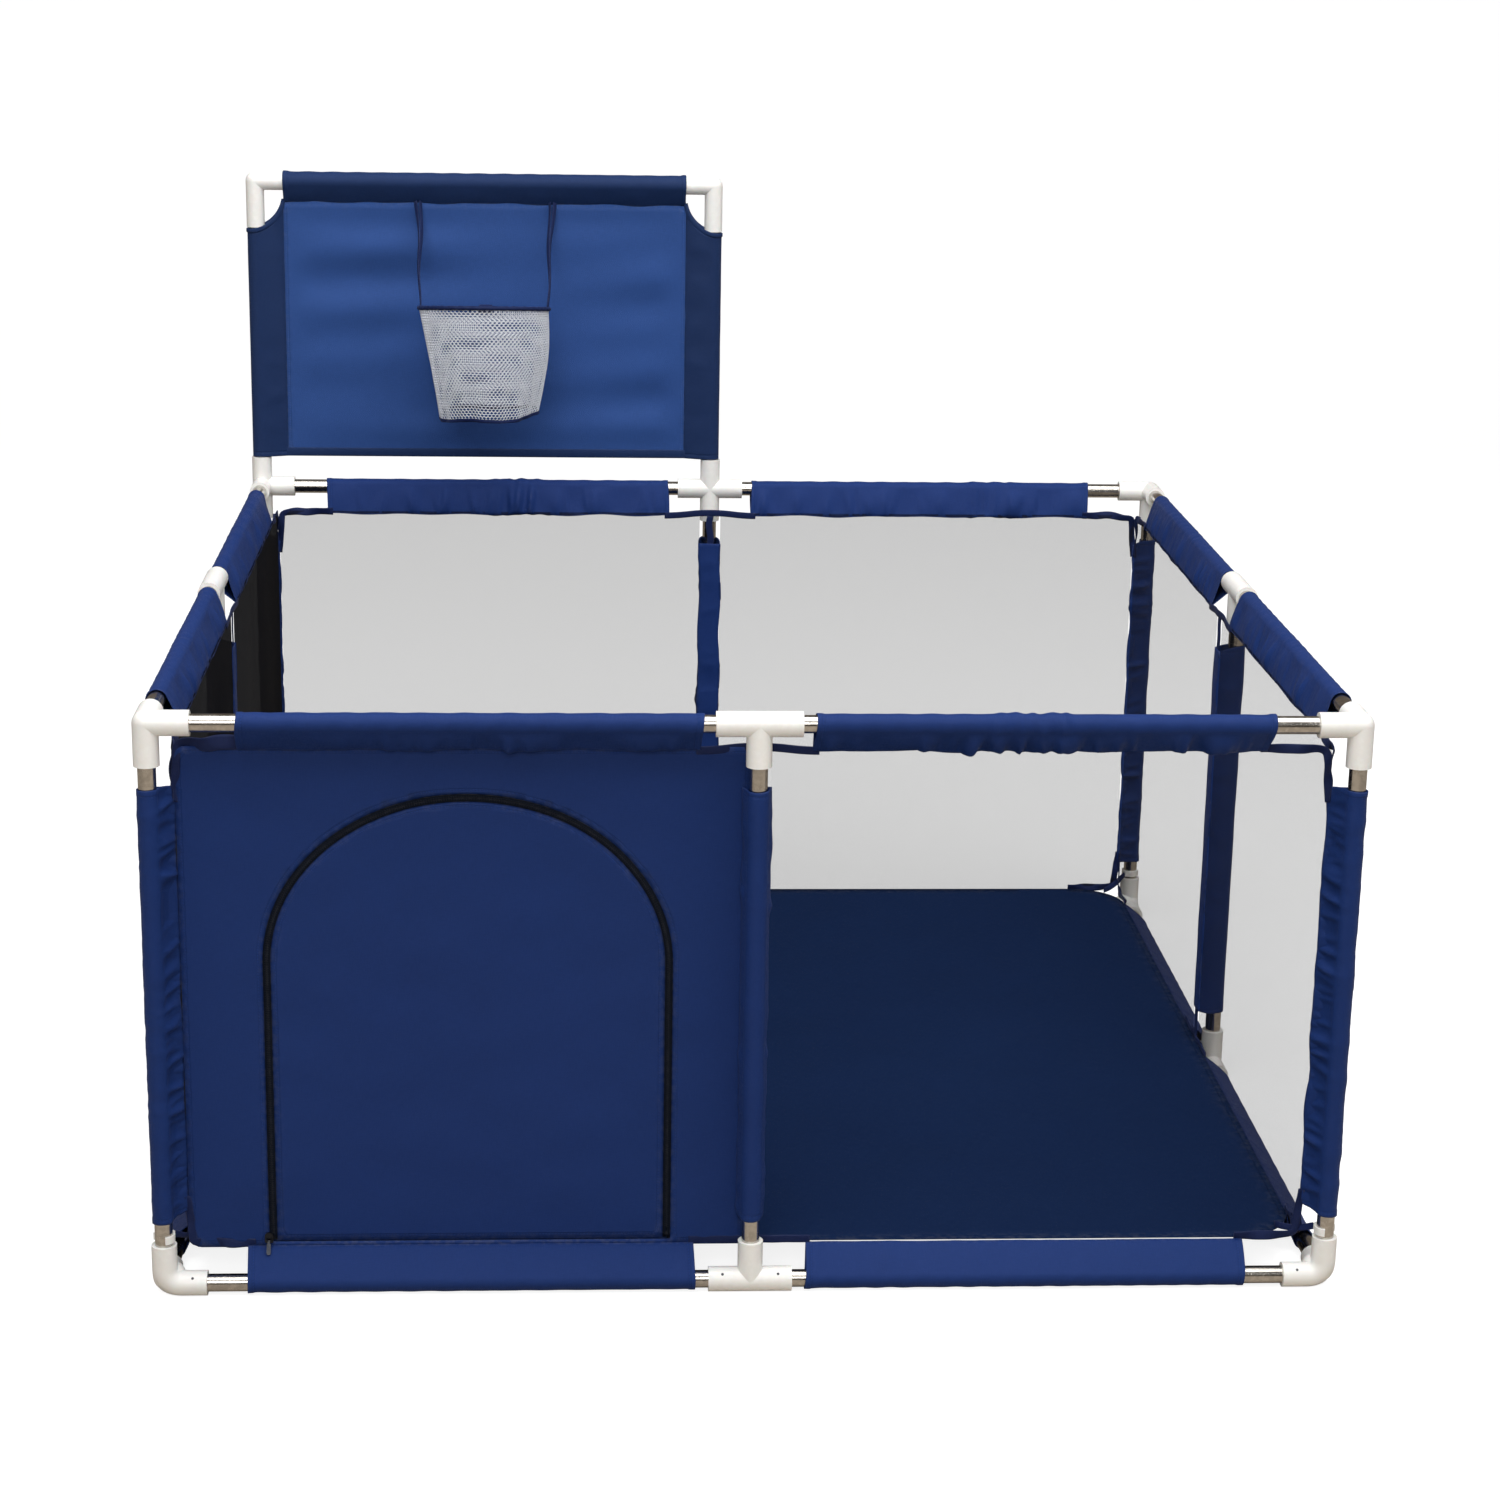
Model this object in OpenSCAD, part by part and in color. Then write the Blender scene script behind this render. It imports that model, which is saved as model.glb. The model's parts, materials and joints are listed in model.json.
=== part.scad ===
// Square play yard: push-fit steel tubes and plastic connectors, fabric sleeves, mesh walls,
// a fabric floor, a zipped door in one bay and a ball-game board that plugs in over another bay.
// Origin: on the floor, under the middle of the yard. +X right, +Y to the board side, +Z up.

/* [Yard] */
// Outer width of the square frame, over its connectors
yard_w = 1279; // [1100:1:1500]
// Height from the floor to the top of the top connectors
yard_h = 648; // [560:1:760]
// Height from the floor to the top of the board
total_h = 1071; // [1000:1:1200]

/* [Tubes and connectors] */
// Outer diameter of every steel tube
tube_d = 19; // [16:0.5:20]
// Wall thickness of the tubes
tube_wall = 0.8; // [0.6:0.1:1.5]
// Outer diameter of the yard's connectors
conn_d = 27; // [26:0.5:30]
// Distance from a connector's centre to the end of an arm
conn_reach = 45; // [40:1:52]
// Outer diameter of the board's two elbows
elbow_d = 24.5; // [23:0.5:27]

/* [Fabric] */
// Distance from the rail axes in to the wall fabric
wall_inset = 22; // [20:0.5:26]
// Thickness of the walls, the floor and the flap
cloth_t = 1; // [0.8:0.1:1.4]
// Thickness of the sleeves round the tubes
sleeve_t = 1.1; // [0.8:0.1:1.4]
// Distance from a corner post's axis to the start of a top sleeve
sleeve_start = 91; // [70:1:120]
// Distance from a mid post's axis to the end of a top sleeve
sleeve_end = 58; // [50:1:80]

/* [Door] */
// Width of the doorway, between the centres of its zip
door_w = 422; // [340:1:440]
// Height of the doorway's top over the floor
door_top = 549; // [470:1:565]
// Height over the floor at which the doorway's arch begins
door_spring = 367; // [300:1:420]
// Sideways shift of the doorway from the middle of its bay
door_shift = 12; // [0:1:14]

/* [Board] */
// Outer radius of the hoop
hoop_r = 91; // [75:1:100]
// Length of the net under the hoop
net_len = 146; // [110:1:160]
// Outer radius of the net's lower end
net_foot_r = 66; // [60:1:70]
// Tilt of the hoop, its front edge upwards
hoop_tilt = 8; // [0:1:12]

/* [Hidden] */
$fn = 48;

navy = "#1d3369";
dark_navy = "#142044";
mesh_grey = "#c9cbd0";
mesh_dark = "#2a2a30";
steel = "#b9b6ae";
plastic = "#f1f0ec";
zip_black = "#15161a";

// Frame axes
foot_flat = 0.5; // the flat cut under each bottom connector
half = yard_w / 2 - conn_d / 2;
z_low = conn_d / 2 - foot_flat;
z_top = yard_h - conn_d / 2;
board_sleeve_r = 14.5; // outer radius of the sleeve on the board's top tube
z_board = total_h - board_sleeve_r;
fit_gap = 0.05; // between a tube and its socket, all round
tube_stop = 18; // where a tube ends, from the connector's centre
up_reach = 42; // reach of the two sockets that take the board's posts
screw_at = 30; // from a connector's centre to its lock screws
screw_r = 1.5;
big = 3 * yard_w;

// Fabric
rail_sleeve_r = 11; // outer radius of a rail's sleeve
post_sleeve_r = 14.5; // outer radius of a post's sleeve
top_drop = 34; // from a top rail's axis down to its sleeve's seam
low_rise = 33; // from a bottom rail's axis up to its sleeve's seam
low_sleeve_start = 87; // from a corner post to a bottom sleeve
low_sleeve_end = 60; // from a mid post to a bottom sleeve
seam_gap = 0.6; // between pieces that are sewn together
wall_end = 25; // from a corner post's axis to the end of a wall
wall_corner_r = 24; // rounding of a wall's corners next to a corner post
floor_z = z_low + low_rise + seam_gap;
wall_low = floor_z + cloth_t + seam_gap;
wall_high = z_top - top_drop - seam_gap;
floor_corner_r = 70;
post_sleeve_top = z_top - 70;
post_sleeve_low = z_low + 71;
tie_inner = 14; // from a corner post's axis to the near end of its tie, along the diagonal
tie_outer = 62;
tie_w = 8;
tie_t = 1.2;
tie_z = floor_z + cloth_t + 0.8;
clip_z = tie_z + 13.6;

// Door and zip
door_x = -half / 2 + door_shift;
zip_half = 4.9; // width of the tape on one side of the zip
zip_split = 0.25; // from the zip's centre to each tape
zip_t = 1.6;
flap_low = wall_low + 3.6; // lower edge of the flap
hinge_z = flap_low - 0.4;
door_y = -half + wall_inset;
slider_w = 9;
slider_h = 12;
slider_x = door_x - door_w / 2 - slider_w / 2 - 0.35;
slider_z = flap_low - 2;
slider_back = door_y - 1.4; // rear face of the slider, just in front of the tape
slider_plate = 2;
pull_tilt = 25; // how far the pull leans out over the bottom sleeve
pull_pin_r = 0.75;
pull_y = slider_back - slider_plate - 2.2;
pull_z = flap_low + 1.5;
pull_len = 15;
pull_w = 2.4;

// Board
board_x = -half / 2;
elbow_side = 45;
elbow_drop = 62;
board_low = z_top + up_reach + 1;
board_side_top = z_board - 65;
board_top_start = 39; // from a board post's axis to the top sleeve
board_side_r = 12;
board_side_tail = 38; // how far a side sleeve's seam is from its post
board_top_tail = 27;
board_cut_r = 48; // radius of the cut-outs at the board's top corners
board_cut_x = 9; // how far outside the posts' axes their centres lie
board_cut_drop = 16; // how far below the top tube's axis their centres lie
hoop_tube_r = 3.5;
wire_r = 1.7;
hoop_ring_r = hoop_r - hoop_tube_r;
loop_r = hoop_tube_r + 2; // outer radius of the loop that holds the hoop to the board
hoop_hinge_y = half - cloth_t / 2 - hoop_tube_r - 0.7;
hoop_z = 898;
hoop_y = hoop_hinge_y - hoop_ring_r * cos(hoop_tilt);
hoop_hinge_z = hoop_z - hoop_ring_r * sin(hoop_tilt);
net_top_r = 85;
net_t = 1.2;
strap_w = 8;
strap_top_z = z_board - board_top_tail + 2;

// Points on an arc about c, from angle a to angle b.
function arc(c, r, a, b, n = 8) =
    [for (i = [0:n]) let (t = a + (b - a) * i / n) c + r * [cos(t), sin(t)]];

// A round outline of radius r about the origin that runs out to the point p.
function drop_outline(r, p) =
    let (toward = atan2(p.y, p.x), open = acos(r / norm(p)))
    concat([p], arc([0, 0], r, toward + open, toward + 360 - open, 26));

// A rectangle with rounded corners. Radii go low left, low right, high right, high left.
function round_rect(x0, y0, x1, y1, r) = concat(
    arc([x0 + r[0], y0 + r[0]], r[0], 180, 270),
    arc([x1 - r[1], y0 + r[1]], r[1], 270, 360),
    arc([x1 - r[2], y1 - r[2]], r[2], 0, 90),
    arc([x0 + r[3], y1 - r[3]], r[3], 90, 180));

// The doorway's outline, grown outwards by d: straight sides and an elliptical arch.
function door_outline(d, low) = concat(
    [[door_x + door_w / 2 + d, low]],
    [for (a = [0:5:180])
        [door_x + (door_w / 2 + d) * cos(a), door_spring + (door_top - door_spring + d) * sin(a)]],
    [[door_x - door_w / 2 - d, low]]);

// Turns a child that points up so that it points along dir, a unit vector along an axis.
module along(dir) {
    if (dir.x != 0) rotate([0, 90 * dir.x, 0]) children();
    else if (dir.y != 0) rotate([-90 * dir.y, 0, 0]) children();
    else rotate([dir.z > 0 ? 0 : 180, 0, 0]) children();
}

// Turns the front side's shapes round to side k: 0 front, 1 right, 2 back, 3 left.
module side(k) { rotate([0, 0, 90 * k]) children(); }

// Puts a shape in both bays of the front side.
module both_bays() {
    children();
    mirror([1, 0, 0]) children();
}

// Lays an outline in the Y-Z plane and stretches it along X from x0 to x1.
module run_x(x0, x1) {
    translate([x0, 0, 0]) rotate([90, 0, 90]) linear_extrude(x1 - x0) children();
}

// Stands an outline in the X-Z plane, t thick, with its middle at y.
module upright(y, t) {
    translate([0, y + t / 2, 0]) rotate([90, 0, 0]) linear_extrude(t) children();
}

module steel_tube(length) {
    color(steel) difference() {
        cylinder(d = tube_d, h = length);
        translate([0, 0, -1]) cylinder(d = tube_d - 2 * tube_wall, h = length + 2);
    }
}

// ---- Steel tubes ----

module rail_pair(k, z) {
    side(k) both_bays() translate([-half + tube_stop, -half, z]) rotate([0, 90, 0])
        steel_tube(half - 2 * tube_stop);
}

// An upright tube at (x, y) between the sockets of the connectors at heights low and high.
module post(x, y, low, high) {
    translate([x, y, low + tube_stop]) steel_tube(high - low - 2 * tube_stop);
}

module corner_posts() {
    for (k = [0:3]) side(k) post(-half, -half, z_low, z_top);
}

module mid_posts() {
    for (k = [0:3]) side(k) post(0, -half, z_low, z_top);
}

module board_posts() {
    for (x = [-half, 0]) post(x, half, z_top, z_board);
}

module board_top_tube() {
    translate([-half + tube_stop, half, z_board]) rotate([0, 90, 0])
        steel_tube(half - 2 * tube_stop);
}

// ---- Plastic connectors ----

// Hollow connector with one arm along each direction in dirs, and that arm's reach in reaches.
module connector(dirs, reaches, d = conn_d) {
    color(plastic) difference() {
        union() {
            sphere(d = d);
            for (i = [0:len(dirs) - 1]) along(dirs[i]) cylinder(d = d, h = reaches[i]);
        }
        for (i = [0:len(dirs) - 1]) along(dirs[i]) translate([0, 0, tube_stop])
            cylinder(r = tube_d / 2 + fit_gap, h = reaches[i]);
    }
}

module top_corner(k, up = false) {
    dirs = concat([[1, 0, 0], [0, 1, 0], [0, 0, -1]], up ? [[0, 0, 1]] : []);
    reaches = concat([conn_reach, conn_reach, conn_reach], up ? [up_reach] : []);
    side(k) translate([-half, -half, z_top]) connector(dirs, reaches);
}

module top_tee(k, up = false) {
    dirs = concat([[1, 0, 0], [-1, 0, 0], [0, 0, -1]], up ? [[0, 0, 1]] : []);
    reaches = concat([conn_reach, conn_reach, conn_reach], up ? [up_reach] : []);
    side(k) translate([0, -half, z_top]) connector(dirs, reaches);
}

// A quarter bend in the X-Y plane, from an arm along X to an arm along Y.
module bend() {
    translate([tube_stop, tube_stop, 0]) rotate([0, 0, 180]) rotate_extrude(angle = 90)
        translate([tube_stop, 0]) circle(d = conn_d);
}

// Where a lock screw goes, through the upper outer wall of an arm along X.
module screw_place() { translate([screw_at, 0, 0]) rotate([45, 0, 0]) children(); }

module screw_hole() { screw_place() cylinder(r = screw_r + 0.1, h = conn_d); }

module lock_screw() {
    screw_place() translate([0, 0, tube_d / 2 + 0.3])
        cylinder(r = screw_r, h = (conn_d - tube_d) / 2 - 0.6);
}

// Everything below the floor, which flattens the connectors' feet.
module below_floor() { translate([-big / 2, -big / 2, -big]) cube([big, big, big]); }

module bottom_corner(k) {
    color(plastic) difference() {
        side(k) translate([-half, -half, z_low]) difference() {
            union() {
                bend();
                rotate([90, 0, 0]) bend();
                rotate([0, -90, 0]) bend();
                translate([7, 7, 7]) sphere(d = conn_d + 1);
                for (dir = [[1, 0, 0], [0, 1, 0], [0, 0, 1]]) along(dir)
                    translate([0, 0, tube_stop]) cylinder(d = conn_d, h = conn_reach - tube_stop);
            }
            for (dir = [[1, 0, 0], [0, 1, 0], [0, 0, 1]]) along(dir)
                translate([0, 0, tube_stop]) cylinder(r = tube_d / 2 + fit_gap, h = conn_reach);
            screw_hole();
            mirror([1, -1, 0]) screw_hole();
        }
        below_floor();
    }
}

module bottom_tee(k) {
    color(plastic) difference() {
        side(k) translate([0, -half, z_low]) difference() {
            connector([[1, 0, 0], [-1, 0, 0], [0, 0, 1]], [conn_reach, conn_reach, conn_reach]);
            both_bays() screw_hole();
        }
        below_floor();
    }
}

module lock_screws() {
    color(zip_black) for (k = [0:3]) side(k) {
        translate([-half, -half, z_low]) {
            lock_screw();
            mirror([1, -1, 0]) lock_screw();
        }
        translate([0, -half, z_low]) both_bays() lock_screw();
    }
}

module board_elbows() {
    reaches = [elbow_side, elbow_drop];
    translate([-half, half, z_board]) connector([[1, 0, 0], [0, 0, -1]], reaches, elbow_d);
    translate([0, half, z_board]) connector([[-1, 0, 0], [0, 0, -1]], reaches, elbow_d);
}

// ---- Sleeves ----

// A sleeve's section: round about the tube, drawn out to the seam at p.
module sleeve_section(r, p) {
    difference() {
        polygon(drop_outline(r, p));
        polygon(drop_outline(r - sleeve_t, p * (1 - 2.4 * sleeve_t / norm(p))));
    }
}

module rail_sleeves(k, z, from, to, seam_z) {
    color(navy) side(k) both_bays() translate([0, -half, z]) run_x(-half + from, -to)
        sleeve_section(rail_sleeve_r, [wall_inset, seam_z]);
}

module top_sleeve(k) { rail_sleeves(k, z_top, sleeve_start, sleeve_end, -top_drop); }

module bottom_sleeves() {
    for (k = [0:3]) rail_sleeves(k, z_low, low_sleeve_start, low_sleeve_end, low_rise);
}

module post_sleeve() {
    color(navy) translate([0, 0, post_sleeve_low]) difference() {
        cylinder(r = post_sleeve_r, h = post_sleeve_top - post_sleeve_low);
        translate([0, 0, -1]) cylinder(r = post_sleeve_r - sleeve_t, h = z_top);
    }
}

module corner_post_sleeves() {
    for (k = [0:3]) side(k) translate([-half, -half, 0]) post_sleeve();
}

module mid_post_sleeves() {
    for (k = [0:3]) side(k) translate([0, -half, 0]) post_sleeve();
}

// ---- Walls and floor ----

// The outline of the wall in the left bay of a side, in the X-Z plane.
module wall_outline() {
    polygon(round_rect(-half + wall_end, wall_low, -seam_gap, wall_high,
        [wall_corner_r, 1, 1, wall_corner_r]));
}

module wall(k, right_bay = false, tint = mesh_grey) {
    color(tint) side(k) mirror([right_bay ? 1 : 0, 0, 0]) upright(door_y, cloth_t) wall_outline();
}

module front_panel() {
    color(navy) upright(door_y, cloth_t) difference() {
        wall_outline();
        polygon(door_outline(zip_half + 0.1, flap_low - 1.6));
    }
}

module floor_sheet() {
    floor_half = half - wall_inset - cloth_t;
    r = floor_corner_r;
    color(dark_navy) translate([0, 0, floor_z]) linear_extrude(cloth_t)
        polygon(round_rect(-floor_half, -floor_half, floor_half, floor_half, [r, r, r, r]));
}

// The ties slope from a clip on each corner post down to the floor's corner, on the diagonal.
module corner_ties() {
    color(navy) for (k = [0:3]) side(k) translate([-half, -half, 0]) rotate([0, 0, 45])
        upright(0, tie_t)
        polygon([
            [tie_inner, clip_z], [tie_outer, tie_z],
            [tie_outer, tie_z + tie_w], [tie_inner, clip_z + tie_w],
        ]);
}

// An open ring that snaps on the post, with a lug for the tie.
module tie_clips() {
    color(plastic) for (k = [0:3]) side(k) translate([-half, -half, clip_z]) rotate([0, 0, 45]) {
        rotate([0, 0, -120]) rotate_extrude(angle = 240)
            translate([tube_d / 2 + 0.2, 0]) square([2.3, tie_w]);
        translate([tube_d / 2 + 1.5, -2, 0]) cube([tie_inner - tube_d / 2 - 1.9, 4, tie_w]);
    }
}

// ---- Door ----

// A band that follows the doorway's outline, between the distances a and b outside it.
module zip_band(a, b) {
    color(zip_black) upright(door_y, zip_t) difference() {
        polygon(door_outline(b, flap_low));
        polygon(door_outline(a, flap_low - 5));
    }
}

module zip_tape_fixed() { zip_band(zip_split, zip_half); }

module zip_tape_door() { zip_band(-zip_half, -zip_split); }

module door_flap() {
    color(navy) upright(door_y, cloth_t) polygon(door_outline(-zip_half - 0.1, flap_low));
}

module zip_slider() {
    ear_w = 1.2;
    color(steel) translate([slider_x, 0, 0]) {
        upright(slider_back - slider_plate / 2, slider_plate)
            polygon(round_rect(-slider_w / 2, slider_z, slider_w / 2, slider_z + slider_h,
                [2, 2, 4.4, 4.4]));
        for (s = [-1, 1]) difference() {
            translate([s * (pull_w / 2 + 0.3 + ear_w / 2) - ear_w / 2, pull_y - 1.7, pull_z - 1.7])
                cube([ear_w, slider_back - slider_plate / 2 - pull_y + 1.7, 3.4]);
            translate([-slider_w, pull_y, pull_z]) rotate([0, 90, 0])
                cylinder(r = pull_pin_r + 0.07, h = 2 * slider_w);
        }
    }
}

module zip_pull() {
    pin_len = pull_w + 3.4;
    color(steel) translate([slider_x, pull_y, pull_z]) {
        translate([-pin_len / 2, 0, 0]) rotate([0, 90, 0]) cylinder(r = pull_pin_r, h = pin_len);
        rotate([-pull_tilt, 0, 0]) {
            translate([-pull_w / 2, -0.6, -4]) cube([pull_w, 1.2, 4]);
            upright(0, 1.2) polygon(round_rect(-2.2, -pull_len, 2.2, -3, [2, 2, 1, 1]));
        }
    }
}

// ---- Board ----

// The hems of both side sleeves, solid, for a round of radius r and a seam at tail.
module board_side_hems(r, tail, low, high) {
    for (s = [-1, 1]) translate([s * half / 2, 0, low]) mirror([s > 0 ? 1 : 0, 0, 0])
        linear_extrude(high - low) polygon(drop_outline(r, [tail, 0]));
}

// The board's single layer of cloth, with a round cut-out at each upper corner.
module board_sheet() {
    panel_half = half / 2 - board_side_tail + 4;
    upright(0, cloth_t) difference() {
        translate([-panel_half, board_low])
            square([2 * panel_half, z_board - board_top_tail + 2 - board_low]);
        for (s = [-1, 1]) translate([s * (half / 2 + board_cut_x), z_board - board_cut_drop])
            circle(r = board_cut_r);
    }
}

module board_cover() {
    fold = 2.4 * sleeve_t;
    top_half = half / 2 - board_top_start;
    color(navy) translate([board_x, half, 0]) {
        difference() {
            union() {
                board_sheet();
                board_side_hems(board_side_r, board_side_tail, board_low, board_side_top);
                translate([0, 0, z_board]) run_x(-top_half, top_half)
                    polygon(drop_outline(board_sleeve_r, [0, -board_top_tail]));
            }
            board_side_hems(board_side_r - sleeve_t, board_side_tail - fold,
                board_low - 1, board_side_top + 1);
            translate([0, 0, z_board]) run_x(-half / 2, half / 2)
                polygon(drop_outline(board_sleeve_r - sleeve_t, [0, fold - board_top_tail]));
        }
        hoop_loop();
    }
}

// The loop on the board's face that holds the back of the hoop.
module hoop_loop() {
    loop_w = 20;
    translate([-loop_w / 2, hoop_hinge_y - half, hoop_hinge_z]) rotate([0, 90, 0]) difference() {
        cylinder(r = loop_r, h = loop_w);
        translate([0, 0, -1]) cylinder(r = hoop_tube_r + 1, h = loop_w + 2);
    }
}

// The two straps from the top sleeve's seam down to the sides of the hoop.
module hoop_straps() {
    top = [half - 3.5, strap_top_z];
    foot = [hoop_y, hoop_z + hoop_tube_r + 0.6];
    strap_t = 1.2;
    for (s = [-1, 1]) {
        x = board_x + s * (hoop_ring_r - 1) - strap_t / 2;
        color(dark_navy) run_x(x, x + strap_t)
            polygon([foot - [strap_w / 2, 0], foot + [strap_w / 2, 0], top - [0, strap_w], top]);
    }
}

module ring(r, tube_r) { rotate_extrude() translate([r, 0]) circle(r = tube_r); }

// Puts a shape at the hoop's centre, in its tilted plane.
module hoop_place() {
    translate([board_x, hoop_y, hoop_z]) rotate([-hoop_tilt, 0, 0]) children();
}

module hoop_rim() {
    color(dark_navy) hoop_place() difference() {
        ring(hoop_ring_r, hoop_tube_r);
        ring(hoop_ring_r, wire_r + 0.1);
    }
}

module hoop_wire() { color(steel) hoop_place() ring(hoop_ring_r, wire_r); }

module ball_net() {
    rise = 20;
    head_r = net_top_r + (net_top_r - net_foot_r) * rise / net_len;
    color(mesh_grey) difference() {
        translate([board_x, hoop_y, hoop_z - net_len]) difference() {
            cylinder(r1 = net_foot_r, r2 = head_r, h = net_len + rise);
            translate([0, 0, -0.01])
                cylinder(r1 = net_foot_r - net_t, r2 = head_r - net_t, h = net_len + rise + 0.02);
        }
        hoop_place() translate([-2 * hoop_r, -2 * hoop_r, -loop_r - 0.7]) cube(4 * hoop_r);
    }
}

rail_pair(0, z_top);  // top_rail_front
rail_pair(1, z_top);  // top_rail_right
rail_pair(2, z_top);  // top_rail_back
rail_pair(3, z_top);  // top_rail_left
rail_pair(0, z_low);  // bottom_rail_front
rail_pair(1, z_low);  // bottom_rail_right
rail_pair(2, z_low);  // bottom_rail_back
rail_pair(3, z_low);  // bottom_rail_left
corner_posts();
mid_posts();
top_corner(0);  // top_corner_front_left
top_corner(1);  // top_corner_front_right
top_corner(2);  // top_corner_back_right
top_corner(3, up = true);  // top_corner_back_left
top_tee(0);  // top_tee_front
top_tee(1);  // top_tee_right
top_tee(2, up = true);  // top_cross_back
top_tee(3);  // top_tee_left
bottom_corner(0);  // bottom_corner_front_left
bottom_corner(1);  // bottom_corner_front_right
bottom_corner(2);  // bottom_corner_back_right
bottom_corner(3);  // bottom_corner_back_left
bottom_tee(0);  // bottom_tee_front
bottom_tee(1);  // bottom_tee_right
bottom_tee(2);  // bottom_tee_back
bottom_tee(3);  // bottom_tee_left
lock_screws();
top_sleeve(0);  // top_sleeve_front
top_sleeve(1);  // top_sleeve_right
top_sleeve(2);  // top_sleeve_back
top_sleeve(3);  // top_sleeve_left
bottom_sleeves();
corner_post_sleeves();
mid_post_sleeves();
front_panel();
wall(0, right_bay = true);  // wall_front_right
wall(1);  // wall_right_front
wall(1, right_bay = true);  // wall_right_back
wall(2);  // wall_back_right
wall(2, right_bay = true);  // wall_back_left
wall(3, tint = mesh_dark);  // wall_left_back
wall(3, right_bay = true, tint = mesh_dark);  // wall_left_front
floor_sheet();
corner_ties();
tie_clips();
zip_tape_fixed();
door_flap();
zip_tape_door();
zip_slider();
zip_pull();
board_posts();
board_top_tube();
board_elbows();
board_cover();
hoop_straps();
hoop_wire();
hoop_rim();
ball_net();
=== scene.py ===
"""Square play yard: the fabric, nets, zip, ball hoop and finishes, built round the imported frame.

Metres throughout. +X right, +Y to the board side, +Z up. The four sides are numbered 0 front,
1 right, 2 back and 3 left, and each is the front turned a quarter further about the yard's middle.
"""

import json
import math

import bpy
import numpy as np
from mathutils import Matrix, Vector
from mathutils.geometry import delaunay_2d_cdt


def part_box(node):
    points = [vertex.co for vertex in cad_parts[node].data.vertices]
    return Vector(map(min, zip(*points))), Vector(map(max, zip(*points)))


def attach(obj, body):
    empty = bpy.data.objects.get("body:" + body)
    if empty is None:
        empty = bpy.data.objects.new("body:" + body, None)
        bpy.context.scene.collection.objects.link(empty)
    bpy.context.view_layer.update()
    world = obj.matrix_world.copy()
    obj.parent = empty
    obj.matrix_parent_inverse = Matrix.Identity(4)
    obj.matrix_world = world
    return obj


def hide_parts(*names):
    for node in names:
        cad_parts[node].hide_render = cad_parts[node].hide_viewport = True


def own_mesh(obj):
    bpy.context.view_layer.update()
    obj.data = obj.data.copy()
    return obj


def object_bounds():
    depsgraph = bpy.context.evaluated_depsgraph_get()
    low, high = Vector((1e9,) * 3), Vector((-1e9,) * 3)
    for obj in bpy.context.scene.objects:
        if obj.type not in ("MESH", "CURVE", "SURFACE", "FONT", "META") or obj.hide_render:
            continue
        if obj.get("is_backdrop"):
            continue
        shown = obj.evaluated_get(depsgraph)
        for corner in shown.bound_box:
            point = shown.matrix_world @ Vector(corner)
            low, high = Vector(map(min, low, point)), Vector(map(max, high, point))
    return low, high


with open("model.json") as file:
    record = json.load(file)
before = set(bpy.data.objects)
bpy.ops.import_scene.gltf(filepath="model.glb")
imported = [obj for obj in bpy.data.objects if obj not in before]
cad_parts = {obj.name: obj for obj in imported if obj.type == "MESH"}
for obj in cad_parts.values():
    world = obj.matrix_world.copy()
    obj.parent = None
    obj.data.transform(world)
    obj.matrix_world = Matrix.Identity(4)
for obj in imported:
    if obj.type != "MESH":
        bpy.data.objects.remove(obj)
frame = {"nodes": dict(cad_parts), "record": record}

bl_info = {
    "name": "Play Yard Fabric and Finishes",
    "version": (1, 0, 0),
    "blender": (4, 5, 0),
    "location": "View3D > Sidebar > Play Yard",
    "description": "Builds the fabric, nets, hoop and finishes of a tube-framed play yard",
    "category": "Object",
}

TAU = 2 * math.pi
UP = (0.0, 0.0, 1.0)
CAD_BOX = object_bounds()


# ---- Sizes taken from the frame ----


def box(node):
    """The lowest and highest corners of a frame node, as arrays."""
    low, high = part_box(node)
    return np.array(low), np.array(high)


def centre(node):
    low, high = box(node)
    return (low + high) / 2


SIDES = ("front", "right", "back", "left")
HALF = -centre("top_rail_front")[1]
Z_TOP = centre("top_rail_front")[2]
Z_LOW = centre("bottom_rail_front")[2]
Z_BOARD = centre("board_top_tube")[2]
ARM_REACH = box("top_tee_front")[1][0]

# The walls' plane is in from the rails' axis; the rest are a wall's edges.
WALL_IN = HALF + centre("wall_front_right")[1]
WALL_END = HALF + box("front_panel")[0][0]
WALL_LOW = box("wall_front_right")[0][2]
WALL_HIGH = box("wall_front_right")[1][2]
WALL_CORNER_R = 0.012
PANEL_END = -0.005
FLOOR_Z = centre("floor_sheet")[2]
FLOOR_HALF = box("floor_sheet")[1][0]
FLOOR_CORNER_R = 0.070

# A rail sleeve starts this far from its corner, and ends this far from its mid connector.
TOP_START = HALF + box("top_sleeve_front")[0][0]
TOP_END = ARM_REACH + 0.013
LOW_START = ARM_REACH + 0.042
LOW_END = ARM_REACH + 0.015
RAIL_SLEEVE_R = box("top_sleeve_front")[1][2] - Z_TOP
POST_LOW = box("corner_post_sleeves")[0][2]
POST_HIGH = box("corner_post_sleeves")[1][2]
CORNER_SLEEVE_R = 0.0112
MID_SLEEVE_R = 0.0115
POCKET_HALF = 0.0150
SEAM = 0.0006        # the gap left at a seam, so that two cloths never share a face
TUCK = 0.004         # how far a wall's edge is tucked into its sleeves

BOARD_X = centre("board_cover")[0]
BOARD_LOW = box("board_cover")[0][2]
BOARD_SLEEVE_R = box("board_cover")[1][2] - Z_BOARD
BOARD_SIDE_R = 0.0118

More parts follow.
